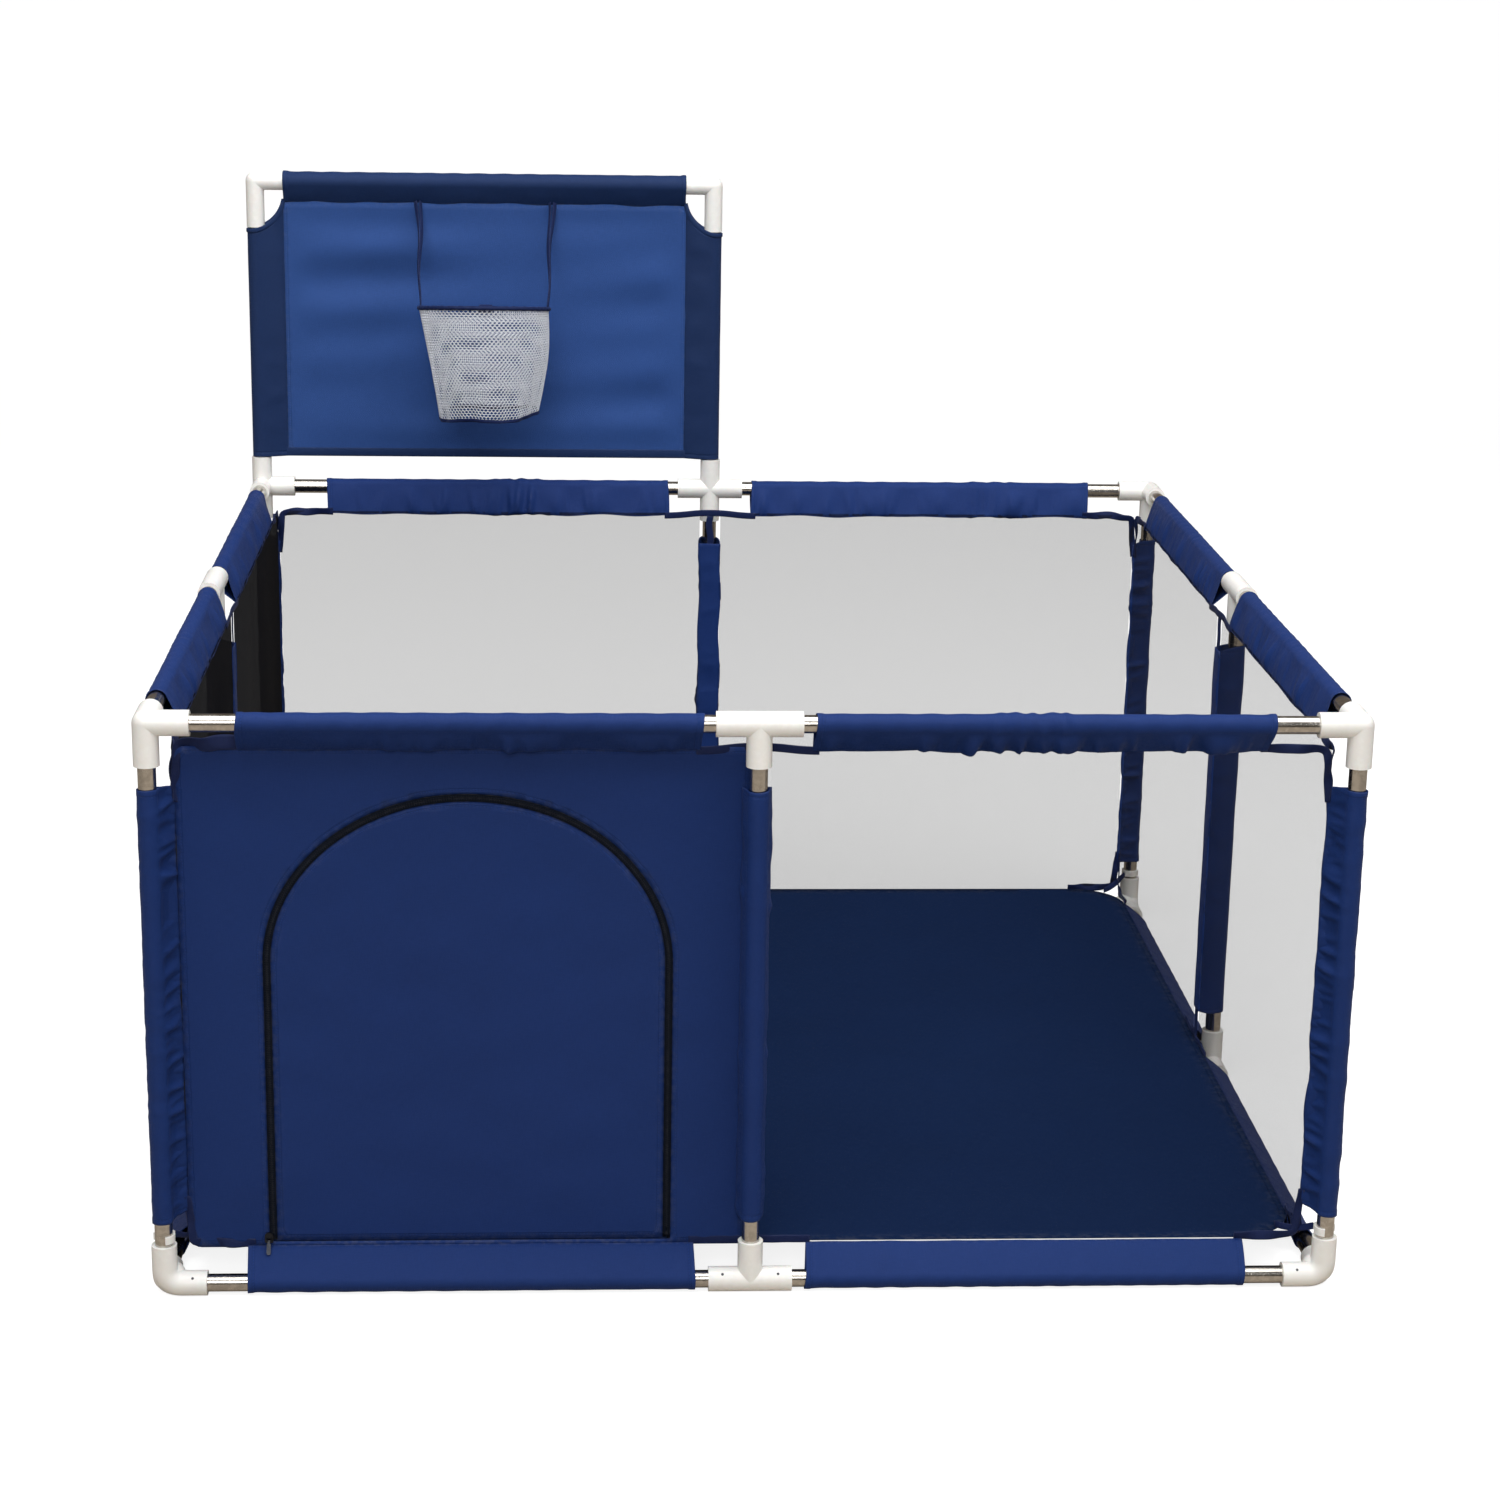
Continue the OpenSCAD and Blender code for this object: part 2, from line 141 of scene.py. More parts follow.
DOOR_X = centre("door_flap")[0]
ZIP_HALF = 0.005
DOOR_HALF = (box("door_flap")[1] - box("door_flap")[0])[0] / 2 + ZIP_HALF
DOOR_TOP = box("door_flap")[1][2] + ZIP_HALF
FLAP_LOW = box("door_flap")[0][2]

RIM_R = (box("hoop_rim")[1] - box("hoop_wire")[1])[0] + 0.0017
HOOP = centre("hoop_rim")
HOOP_RING_R = (box("hoop_rim")[1] - box("hoop_rim")[0])[0] / 2 - RIM_R
HOOP_TILT = math.asin(((box("hoop_rim")[1] - box("hoop_rim")[0])[2] / 2 - RIM_R) / HOOP_RING_R)
NET_LOW = box("ball_net")[0][2]
NET_FOOT_R = 0.066

# Thicknesses of the folded tapes, and of the layers that aren't plain cloth.
BINDING = 0.0019
STRAP = 0.0012
TRIM = 0.0014
HEM = 0.0024
FLOOR_CLOTH = 0.0010
NET_CORD = 0.0013


# ---- Settings ----


class YardColours(bpy.types.PropertyGroup):
    """Colours of the cloths, nets and hard parts."""

    cloth: bpy.props.FloatVectorProperty(
        name="Blue cloth", description="Sleeves, panel and door", subtype="COLOR",
        default=(0.0070, 0.0265, 0.128))
    board: bpy.props.FloatVectorProperty(
        name="Board cloth", description="The board behind the hoop", subtype="COLOR",
        default=(0.0225, 0.065, 0.228))
    floor: bpy.props.FloatVectorProperty(
        name="Floor cloth", description="The yard's floor", subtype="COLOR",
        default=(0.0055, 0.0145, 0.0490))
    tape: bpy.props.FloatVectorProperty(
        name="Binding", description="Binding, straps and ties", subtype="COLOR",
        default=(0.006, 0.013, 0.060))
    zip: bpy.props.FloatVectorProperty(
        name="Zip", description="The zip's tape and teeth", subtype="COLOR",
        default=(0.004, 0.006, 0.012))
    pale_net: bpy.props.FloatVectorProperty(
        name="Grey net", description="Netting of the front, right and back walls", subtype="COLOR",
        default=(0.013, 0.013, 0.016))
    # The left walls' netting: a darker, nearly opaque copy of the wall netting, with the shade on
    # the left walls painted into it.
    painted_shade_net: bpy.props.FloatVectorProperty(
        name="Dark net", description="Netting of the left walls", subtype="COLOR",
        default=(0.004, 0.004, 0.006))
    knit: bpy.props.FloatVectorProperty(
        name="Hoop net", description="The knitted net under the hoop", subtype="COLOR",
        default=(0.90, 0.93, 1.00))
    plastic: bpy.props.FloatVectorProperty(
        name="Plastic", description="Connectors and clips", subtype="COLOR",
        default=(0.83, 0.82, 0.79))
    steel: bpy.props.FloatVectorProperty(
        name="Steel", description="Tubes", subtype="COLOR",
        default=(0.46, 0.43, 0.39))


class YardCloth(bpy.types.PropertyGroup):
    """How the cloth is cut and how it lies."""

    thickness: bpy.props.FloatProperty(
        name="Cloth thickness", description="Thickness of the sleeves and panels",
        default=0.0009, unit="LENGTH")
    hem: bpy.props.FloatProperty(
        name="Hem", description="Depth of a folded hem", default=0.009, unit="LENGTH")
    tape_width: bpy.props.FloatProperty(
        name="Binding width", description="Width of the tape round the walls' open corners",
        default=0.009, unit="LENGTH")
    arch_spring: bpy.props.FloatProperty(
        name="Arch springs at", description="Height at which the doorway's arch begins",
        default=0.367, unit="LENGTH")
    wall_sag: bpy.props.FloatProperty(
        name="Wall slack", description="How far the netting stands out of its plane",
        default=0.003, unit="LENGTH")
    floor_sag: bpy.props.FloatProperty(
        name="Floor sag", description="How far the floor hangs in the middle",
        default=0.006, unit="LENGTH")
    board_wave: bpy.props.FloatProperty(
        name="Board wrinkles", description="Height of the soft wrinkles across the board",
        default=0.0028, unit="LENGTH")
    net_pitch: bpy.props.FloatProperty(
        name="Net mesh", description="Distance between the wall netting's holes",
        default=0.0013, unit="LENGTH")
    knit_pitch: bpy.props.FloatProperty(
        name="Hoop net mesh", description="Distance between the hoop net's holes",
        default=0.0056, unit="LENGTH")


class YardStudio(bpy.types.PropertyGroup):
    """Camera, light and floor."""

    place: bpy.props.FloatVectorProperty(
        name="Camera", description="Where the camera stands", subtype="TRANSLATION",
        default=(-0.1904, -3.7325, 1.4888))
    pitch: bpy.props.FloatProperty(
        name="Look down", description="How far the camera looks down", subtype="ANGLE",
        default=math.radians(15.825))
    heading: bpy.props.FloatProperty(
        name="Heading", description="How far the camera turns to the right", subtype="ANGLE",
        default=math.radians(3.331))
    roll: bpy.props.FloatProperty(
        name="Roll", description="How far the camera leans", subtype="ANGLE",
        default=math.radians(0.995))
    lens: bpy.props.FloatProperty(
        name="Lens", description="Focal length for a 36 mm sensor", default=75.40,
        unit="CAMERA")
    glow: bpy.props.FloatProperty(
        name="Glow", description="How bright the floor and backdrop look", default=0.85)
    backdrop: bpy.props.FloatVectorProperty(
        name="Backdrop", description="Colour of the floor and backdrop", subtype="COLOR",
        default=(0.44, 0.385, 0.32))


def colours():
    return bpy.context.scene.yard_colours


def cloth():
    return bpy.context.scene.yard_cloth


# ---- Building meshes ----


def add_object(name, data):
    made = bpy.data.objects.new(name, data)
    bpy.context.scene.collection.objects.link(made)
    return made


def make_mesh(name, points, faces, coords):
    """A mesh object from points, faces and the cloth coordinates of each point, in metres."""
    data = bpy.data.meshes.new(name)
    data.from_pydata(np.asarray(points, float).tolist(), [], [list(map(int, f)) for f in faces])
    held = data.attributes.new("cloth", "FLOAT_VECTOR", "POINT")
    held.data.foreach_set("vector", np.asarray(coords, np.float32).ravel())
    data.polygons.foreach_set("use_smooth", [True] * len(data.polygons))
    data.validate()
    data.update()
    return add_object(name, data)


def lengths_along(points, axis):
    """How far each point of a grid is from the grid's start, measured along one of its axes."""
    steps = np.linalg.norm(np.diff(points, axis=axis), axis=-1)
    zero = np.zeros_like(np.take(steps, [0], axis=axis))
    return np.concatenate([zero, np.cumsum(steps, axis=axis)], axis=axis)


def grid_faces(rows, columns, wrap=False, start=0):
    """The quads of a grid of rows by columns; wrap joins the last column to the first."""
    i, j = np.meshgrid(np.arange(rows - 1), np.arange(columns - (not wrap)), indexing="ij")
    k = (j + 1) % columns
    return start + np.stack(
        [i * columns + j, i * columns + k, (i + 1) * columns + k, (i + 1) * columns + j],
        axis=-1).reshape(-1, 4)


def grid_coords(points, edge=None):
    """Cloth coordinates of a grid: along it, across it, and how far in from a stitched edge."""
    along = lengths_along(points, 0).mean(axis=1, keepdims=True) + 0 * points[..., 0]
    across = lengths_along(points, 1)
    from_edge = np.broadcast_to(1.0 if edge is None else edge, across.shape)
    return np.stack([along, across, from_edge], axis=-1)


class Mesher:
    """Collects grids and caps, and joins them into one mesh object."""

    def __init__(self):
        self.points, self.faces, self.coords, self.count = [], [], [], 0

    def grid(self, points, wrap=False, caps=False, edge=None):
        rows, columns = points.shape[:2]
        self.faces += grid_faces(rows, columns, wrap, self.count).tolist()
        if caps:
            first = list(range(self.count, self.count + columns))
            last = list(range(self.count + (rows - 1) * columns, self.count + rows * columns))
            self.faces += [first[::-1], last]
        self.points.append(points.reshape(-1, 3))
        self.coords.append(grid_coords(points, edge).reshape(-1, 3))
        self.count += rows * columns
        return self

    def tape(self, path, across, width, thickness, caps=True):
        """Adds a folded tape along a path."""
        return self.grid(tape(path, across, width, thickness), wrap=True, caps=caps)

    def build(self, name):
        points, coords = np.concatenate(self.points), np.concatenate(self.coords)
        return make_mesh(name, points, self.faces, coords)


def thicken(made, thickness, offset=-1.0):
    """Gives a single layer its thickness: to both sides of it where offset is 0."""
    solid = made.modifiers.new("thickness", "SOLIDIFY")
    solid.thickness = thickness
    solid.offset = offset
    solid.use_even_offset = False
    return made


def finish_piece(made, finish, slot, body, *nodes):
    """Paints a piece and lets it ride on a body in place of frame nodes; its slot is not used."""
    made.data.materials.append(material(finish))
    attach(made, body)
    if nodes:
        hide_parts(*nodes)
    return made


def on_side(k, along, inward, height):
    """Points on side k: along it, in from its rails' axis, and up."""
    x, y = np.asarray(along, float), np.asarray(inward, float) - HALF
    for _ in range(k):
        x, y = -y, x
    return np.stack(np.broadcast_arrays(x, y, height), axis=-1)


def smooth_step(low, high, value):
    """0 below low, 1 above high, and an even change between them."""
    t = np.clip((value - low) / (high - low), 0, 1)
    return t * t * (3 - 2 * t)


def waves(rng, u, v, count, shortest, longest, lean=0.3):
    """Soft waves along u, of random lengths and leans, about 1 high."""
    total = 0 * (u + v)
    for _ in range(count):
        length = rng.uniform(shortest, longest)
        slope = rng.uniform(-lean, lean)
        phase = rng.uniform(0, TAU)
        total = total + rng.uniform(0.6, 1.0) * np.sin(TAU * (u + slope * v) / length + phase)
    return total / math.sqrt(count)


def ridges(rng, u, v, places, width, lean):
    """Narrow ridges across u, one at each place, each with its own width, lean and height."""
    total = 0 * (u + v)
    for place in places:
        wide = rng.uniform(*width)
        slope = rng.uniform(*lean)
        total = total + rng.uniform(0.5, 1.0) * np.exp(-(((u - place - slope * v) / wide) ** 2))
    return total


def spaced(start, end, step, dense=0.0, fine=0.0015):
    """Values from start to end, a fine step apart within dense of both ends."""
    if not dense:
        return np.linspace(start, end, max(2, round((end - start) / step) + 1))
    count = max(2, round(dense / fine) + 1)
    open_span = end - start - 2 * dense
    middle = np.linspace(start + dense, end - dense, max(2, round(open_span / step)))
    return np.concatenate([
        np.linspace(start, start + dense, count)[:-1], middle,
        np.linspace(end - dense, end, count)[1:]])


def drop_section(radius, seam, arc_points=25, leg_points=9):
    """A cloth's path from a seam, round a tube at the origin and back to the seam.

    Returns its points and their outward directions, and for each point how loose it hangs
    between tube and seam, and how near it is to the seam.
    """
    seam = np.array(seam, float)
    toward = math.atan2(seam[1], seam[0])
    opening = math.acos(radius / np.hypot(*seam))
    angles = toward + np.linspace(opening, TAU - opening, arc_points)
    out = np.stack([np.cos(angles), np.sin(angles)], axis=1)
    ring = radius * out
    steps = np.linspace(0, 1, leg_points, endpoint=False)[:, None]
    first = seam + (ring[0] - seam) * steps
    last = (seam + (ring[-1] - seam) * steps)[::-1]
    points = np.concatenate([first, ring, last])
    outward = np.concatenate(
        [np.repeat(out[:1], leg_points, 0), out, np.repeat(out[-1:], leg_points, 0)])
    loose = np.sin(math.pi * steps[:, 0]) ** 0.8
    leg = np.concatenate([loose, np.zeros(arc_points), loose[::-1]])
    seamward = np.concatenate([1 - steps[:, 0], np.zeros(arc_points), (1 - steps[:, 0])[::-1]])
    return points, outward, leg, seamward


def tape(path, across, width, thickness, sides=12):
    """The skin of a folded tape along a path; across is the direction of its width."""
    path = np.asarray(path, float)
    across = np.broadcast_to(np.asarray(across, float), path.shape)
    run = np.gradient(path, axis=0)
    run /= np.linalg.norm(run, axis=1, keepdims=True)
    across = across - run * (across * run).sum(1, keepdims=True)
    across /= np.linalg.norm(across, axis=1, keepdims=True)
    up = np.cross(run, across)
    width = np.broadcast_to(width, len(path))[:, None, None]
    angles = np.arange(sides) / sides * TAU
    a, b = np.cos(angles), np.sin(angles)
    a, b = np.sign(a) * np.abs(a) ** 0.6, np.sign(b) * np.abs(b) ** 0.7
    wide, deep = (a / 2)[None, :, None], (b * thickness / 2)[None, :, None]
    return path[:, None] + across[:, None] * wide * width + up[:, None] * deep


def smooth_path(corners, step, rounds=3):
    """A curve that follows straight stretches and cuts their corners, with points a step apart."""
    line = np.asarray(corners, float)
    for _ in range(rounds):
        near, far = line[:-1] * 0.75 + line[1:] * 0.25, line[:-1] * 0.25 + line[1:] * 0.75
        cut = np.stack([near, far], 1).reshape(-1, line.shape[1])
        line = np.concatenate([line[:1], cut, line[-1:]])
    run = np.concatenate([[0], np.cumsum(np.linalg.norm(np.diff(line, axis=0), axis=1))])
    at = np.linspace(0, run[-1], max(3, round(run[-1] / step) + 1))
    return np.stack([np.interp(at, run, line[:, i]) for i in range(line.shape[1])], axis=1)


def ring_points(corners, step):
    """A closed outline again, with points about a step apart on its long edges."""
    corners = np.asarray(corners, float)
    made = []
    for a, b in zip(corners, np.roll(corners, -1, axis=0)):
        count = max(1, round(np.linalg.norm(b - a) / step))
        made += [a + (b - a) * i / count for i in range(count)]
    return np.array(made)


def arc(middle, radius, start, end, count=8):
    """Points on an arc in a plane, with its angles in degrees."""
    t = np.radians(np.linspace(start, end, count + 1))
    return np.stack([middle[0] + radius * np.cos(t), middle[1] + radius * np.sin(t)], axis=1)


def inside(spots, outline):
    """Which flat points lie within a closed outline."""
    held = np.zeros(len(spots), bool)
    for a, b in zip(outline, np.roll(outline, -1, axis=0)):
        if a[1] != b[1]:
            crosses = (a[1] > spots[:, 1]) != (b[1] > spots[:, 1])
            meets = a[0] + (b[0] - a[0]) * (spots[:, 1] - a[1]) / (b[1] - a[1])
            held ^= crosses & (spots[:, 0] < meets)
    return held


def to_nearest(spots, rim):
    """How far each flat point is from the nearest point of a rim."""
    return np.sqrt(np.array([np.min(((rim - p) ** 2).sum(1)) for p in spots]))


def cut_sheet(name, outline, holes, step, lay, bound=True):
    """A sheet cut to an outline, less its holes. lay puts flat points in space.

    The cloth coordinates are the flat points, and how far each is from a stitched edge; a
    sheet that isn't bound has no stitches.
    """
    rings = [ring_points(r, step) for r in [outline, *holes]]
    rim = np.concatenate(rings)
    edges, start = [], 0
    for ring in rings:
        edges += [(start + i, start + (i + 1) % len(ring)) for i in range(len(ring))]
        start += len(ring)
    low, high = rings[0].min(0), rings[0].max(0)
    x, z = np.meshgrid(np.arange(low[0], high[0], step), np.arange(low[1], high[1], step))
    x = x + (np.arange(x.shape[0]) % 2)[:, None] * step / 2
    inner = np.stack([x.ravel(), z.ravel()], axis=1)
    flat = np.concatenate([rim, inner[to_nearest(inner, rim) > 0.6 * step]])
    cut = delaunay_2d_cdt([Vector(p) for p in flat], edges, [], 1, 1e-7)
    flat, faces = np.array([tuple(v) for v in cut[0]]), cut[2]
    middles = np.array([flat[f].mean(0) for f in faces])
    kept = inside(middles, rings[0])
    for ring in rings[1:]:
        kept &= ~inside(middles, ring)
    faces = [f for f, keep in zip(faces, kept) if keep]
    used = np.unique([i for f in faces for i in f])
    renumber = {int(i): n for n, i in enumerate(used)}
    flat = flat[used]
    faces = [[renumber[i] for i in f] for f in faces]
    edge = to_nearest(flat, rim)
    coords = np.stack([flat[:, 0], flat[:, 1], edge if bound else edge * 0 + 1], axis=1)
    return make_mesh(name, lay(flat[:, 0], flat[:, 1], edge), faces, coords)


# ---- Shader nodes ----


def put(tree, kind, inputs=None, **settings):
    """Adds a node and sets it. An input's value is a number, a colour or another node's output."""
    made = tree.nodes.new(kind)
    for name, value in settings.items():
        setattr(made, name, value)
    for key, value in (inputs or {}).items():
        if isinstance(value, bpy.types.NodeSocket):
            tree.links.new(value, made.inputs[key])
        else:
            made.inputs[key].default_value = value
    return made


def maths(tree, operation, *values):
    inputs = dict(enumerate(values))
    return put(tree, "ShaderNodeMath", inputs, operation=operation).outputs[0]


def times(tree, value, by):
    return maths(tree, "MULTIPLY", value, by)


def fade(tree, value, low, high, to_low=0.0, to_high=1.0):
    """A smooth change from to_low to to_high as value goes from low to high."""
    inputs = {
        "Value": value, "From Min": low, "From Max": high, "To Min": to_low, "To Max": to_high}
    return put(tree, "ShaderNodeMapRange", inputs, interpolation_type="SMOOTHSTEP").outputs[0]


def blend_colours(tree, share, first, second):
    inputs = {0: share, 6: first, 7: second}
    return put(tree, "ShaderNodeMix", inputs, data_type="RGBA").outputs[2]


def tinted(tree, base, mask, strength, tint):
    """A colour that goes towards a tint where the mask is 1."""
    return blend_colours(tree, times(tree, mask, strength), base, tint)


def noise(tree, vector, scale, detail=2.0, roughness=0.5):
    inputs = {"Vector": vector, "Scale": scale, "Detail": detail, "Roughness": roughness}
    return put(tree, "ShaderNodeTexNoise", inputs).outputs["Fac"]


def scaled(tree, vector, by):
    inputs = {0: vector, 1: by}
    return put(tree, "ShaderNodeVectorMath", inputs, operation="MULTIPLY").outputs[0]


KINDS = {"vector": "NodeSocketVector", "value": "NodeSocketFloat", "colour": "NodeSocketColor"}


def group(name, inputs, outputs, build):
    """A node group, built once. inputs and outputs are (name, kind[, default]); build wires it."""
    found = bpy.data.node_groups.get(name)
    if found:
        return found
    tree = bpy.data.node_groups.new(name, "ShaderNodeTree")
    for label, kind, *default in inputs:
        socket = tree.interface.new_socket(label, in_out="INPUT", socket_type=KINDS[kind])
        if default:
            socket.default_value = default[0]
    for label, kind in outputs:
        tree.interface.new_socket(label, in_out="OUTPUT", socket_type=KINDS[kind])
    given = tree.nodes.new("NodeGroupInput").outputs
    results = build(tree, given)
    put(tree, "NodeGroupOutput", results)
    return tree


def place_group(tree, made, **inputs):
    """Places a node group, with its inputs by name."""
    inputs = {key.capitalize(): value for key, value in inputs.items()}
    return put(tree, "ShaderNodeGroup", inputs, node_tree=made).outputs


def weave_group():
    """A plain weave: warp and weft threads that pass over and under each other."""
    def build(tree, given):
        parts = put(tree, "ShaderNodeSeparateXYZ", {0: given["Coords"]}).outputs
        u = times(tree, maths(tree, "DIVIDE", parts[0], given["Thread"]), math.pi)
        v = times(tree, maths(tree, "DIVIDE", parts[1], given["Thread"]), math.pi)
        crossing = times(tree, maths(tree, "SINE", u), maths(tree, "SINE", v))
        over = maths(tree, "GREATER_THAN", crossing, 0.0)
        warp = maths(tree, "ABSOLUTE", maths(tree, "SINE", u))
        weft = maths(tree, "ABSOLUTE", maths(tree, "SINE", v))
        height = put(tree, "ShaderNodeMix", {0: over, 2: warp, 3: weft}).outputs[0]
        slub = noise(tree, scaled(tree, given["Coords"], (90.0, 1400.0, 0.0)), 1.0)
        slub_up = noise(tree, scaled(tree, given["Coords"], (1400.0, 90.0, 0.0)), 1.0)
        streaks = times(tree, maths(tree, "ADD", slub, slub_up), 0.5)
        return {"Height": height, "Over": over, "Streaks": streaks}
    return group(
        "Plain weave", [("Coords", "vector"), ("Thread", "value", 0.0006)],
        [("Height", "value"), ("Over", "value"), ("Streaks", "value")], build)


def stitch_group():
    """A row of stitches that runs along a cloth's edge, at a set distance in from it."""
    def build(tree, given):
        parts = put(tree, "ShaderNodeSeparateXYZ", {0: given["Coords"]}).outputs
        from_row = maths(tree, "ABSOLUTE", maths(tree, "SUBTRACT", parts[2], given["Inset"]))
        row = fade(tree, from_row, 0.0003, 0.0009, 1.0, 0.0)
        run = maths(tree, "ADD", parts[0], parts[1])
        beat = maths(tree, "SINE", times(tree, run, TAU / 0.0034))
        thread = times(tree, row, fade(tree, beat, -0.55, -0.25))
        # Furrow is the sunk groove along the row: it shapes the bump, and where it darkens the
        # cloth's colour that is painted shade.
        furrow = fade(tree, from_row, 0.0, 0.0022, 1.0, 0.0)
        return {"Thread": thread, "Furrow": furrow}
    return group(
        "Stitch row", [("Coords", "vector"), ("Inset", "value", 0.006)],
        [("Thread", "value"), ("Furrow", "value")], build)


def tone_group():
    """Broad, soft changes of tone over a surface."""
    def build(tree, given):
        broad = noise(tree, scaled(tree, given["Place"], (5.0, 5.0, 7.0)), 1.0, 3.0)
        patches = noise(tree, given["Place"], 34.0, 3.0, 0.6)
        mixed = maths(tree, "ADD", times(tree, broad, 0.6), times(tree, patches, 0.4))
        swing = times(tree, maths(tree, "SUBTRACT", mixed, 0.5), given["Strength"])
        tone = maths(tree, "ADD", 1.0, swing)
        inputs = {0: given["Colour"], "Scale": tone}
        shade = put(tree, "ShaderNodeVectorMath", inputs, operation="SCALE")
        return {"Colour": shade.outputs[0], "Tone": tone}
    return group(
        "Soft tone", [("Colour", "colour", (0.5, 0.5, 0.5, 1)), ("Place", "vector"),
                      ("Strength", "value", 0.3)],
        [("Colour", "colour"), ("Tone", "value")], build)


def wear_group():
    """Where an edge has been rubbed, from how sharply the surface turns."""
    def build(tree, given):
        sharp = put(tree, "ShaderNodeNewGeometry").outputs["Pointiness"]
        rubbed = fade(tree, sharp, 0.52, 0.62)
        broken = fade(tree, noise(tree, given["Place"], 160.0, 3.0), 0.42, 0.62)
        hollow = fade(tree, sharp, 0.38, 0.49, 1.0, 0.0)
        return {"Worn": times(tree, rubbed, broken), "Hollow": hollow}
    return group(
        "Edge wear", [("Place", "vector")], [("Worn", "value"), ("Hollow", "value")], build)


def holes_group():
    """Round holes on a three-way lattice. Net is 1 on the threads and 0 in the holes."""
    def build(tree, given):
        total = None
        for turn in (0, 60, 120):
            a = math.radians(turn)
            inputs = {0: given["Coords"], 1: (math.cos(a), math.sin(a), 0)}
            along = put(tree, "ShaderNodeVectorMath", inputs, operation="DOT_PRODUCT")
            reach = maths(tree, "DIVIDE", along.outputs["Value"], given["Pitch"])
            wave = maths(tree, "COSINE", times(tree, reach, TAU / math.cos(math.pi / 6)))
            total = wave if total is None else maths(tree, "ADD", total, wave)
        low = maths(tree, "SUBTRACT", given["Edge"], 0.25)
        high = maths(tree, "ADD", given["Edge"], 0.25)
        net = fade(tree, total, low, high, 1.0, 0.0)
        return {"Net": net, "Height": times(tree, total, -0.4)}
    return group(
        "Net holes", [("Coords", "vector"), ("Pitch", "value", 0.003), ("Edge", "value", 0.0)],
        [("Net", "value"), ("Height", "value")], build)


def new_material(name, **settings):
    """A material with one Principled shader, and settings on the shader's own sockets."""
    made = bpy.data.materials.new(name)
    made.use_nodes = True
    tree = made.node_tree
    tree.nodes.clear()
    shader = put(tree, "ShaderNodeBsdfPrincipled")
    put(tree, "ShaderNodeOutputMaterial", {"Surface": shader.outputs[0]})
    for key, value in settings.items():
        shader.inputs[key.replace("_", " ")].default_value = value
    return made, tree, shader


def coords_of(tree):
    """The cloth coordinates that every sewn piece carries."""
    return put(tree, "ShaderNodeAttribute", attribute_name="cloth").outputs["Vector"]


def place_of(tree):
    return put(tree, "ShaderNodeTexCoord").outputs["Object"]


def bump(tree, shader, height, distance, strength=1.0):
    inputs = {"Height": height, "Distance": distance, "Strength": strength}
    made = put(tree, "ShaderNodeBump", inputs)
    tree.links.new(made.outputs[0], shader.inputs["Normal"])


def rgba(colour, by=1.0):
    return (colour[0] * by, colour[1] * by, colour[2] * by, 1.0)


MATERIALS = {}


def material(name):
    """The finish called name, built the first time it is asked for."""
    if name not in MATERIALS:
        MATERIALS[name] = FINISHES[name]()
    return MATERIALS[name]


def cloth_material(name, colour, thread=0.0007, tone=0.30, sheen=0.04, rough=(0.42, 0.60),
                   shine=0.16, stitch=0.006, depth=0.00035):
    """Woven polyester: threads, slubs, stitched hems, soft changes of tone and rubbed edges."""
    made, tree, shader = new_material(
        name, Sheen_Weight=sheen, Sheen_Roughness=0.4, Specular_IOR_Level=shine)
    shader.inputs["Sheen Tint"].default_value = rgba((0.45, 0.55, 1.0))
    coords, place = coords_of(tree), place_of(tree)
    weave = place_group(tree, weave_group(), coords=coords, thread=thread)
    stitches = place_group(tree, stitch_group(), coords=coords, inset=stitch)
    wear = place_group(tree, wear_group(), place=place)
    toned = place_group(tree, tone_group(), colour=rgba(colour), place=place, strength=tone)
    paler = tinted(tree, toned["Colour"], weave["Over"], 0.22, rgba(colour, 1.5))
    streaked = blend_colours(tree, fade(tree, weave["Streaks"], 0.42, 0.62, 0.0, 0.35), paler,
                             rgba(colour, 1.35))
    # Painted shade: the cloth's colour is darkened along the sunk furrow of each stitch row.
    furrow_painted_shade = tinted(tree, streaked, stitches["Furrow"], 0.28, rgba(colour, 0.45))
    sewn = tinted(tree, furrow_painted_shade, stitches["Thread"], 0.55, rgba(colour, 1.9))
    rubbed = tinted(tree, sewn, wear["Worn"], 0.30, rgba([0.5 * c + 0.05 for c in colour], 1.6))
    tree.links.new(rubbed, shader.inputs["Base Color"])
    tree.links.new(fade(tree, weave["Streaks"], 0.35, 0.65, rough[1], rough[0]),
                   shader.inputs["Roughness"])
    crinkle = noise(tree, place, 260.0, 2.0)
    height = maths(tree, "ADD", times(tree, weave["Height"], 0.35), times(tree, crinkle, 0.5))
    height = maths(tree, "ADD", height, times(tree, stitches["Thread"], 1.0))
    height = maths(tree, "SUBTRACT", height, times(tree, stitches["Furrow"], 1.6))
    bump(tree, shader, height, depth)
    return made


def net_material(name, colour, edge, thread_clear, hole_clear):
    """Fine netting: opaque threads round small holes, seen through."""
    made, tree, shader = new_material(
        name, Roughness=0.8, Specular_IOR_Level=0.1, Sheen_Weight=0.0)
    coords, place = coords_of(tree), place_of(tree)
    holes = place_group(tree, holes_group(), coords=coords, pitch=cloth().net_pitch, edge=edge)
    toned = place_group(tree, tone_group(), colour=rgba(colour), place=place, strength=0.10)
    knotted = tinted(tree, toned["Colour"], holes["Net"], 0.25, rgba(colour, 0.85))
    tree.links.new(knotted, shader.inputs["Base Color"])
    alpha = fade(tree, holes["Net"], 0.0, 1.0, hole_clear, thread_clear)
    tree.links.new(alpha, shader.inputs["Alpha"])
    bump(tree, shader, holes["Height"], 0.0003, 0.6)
    return made


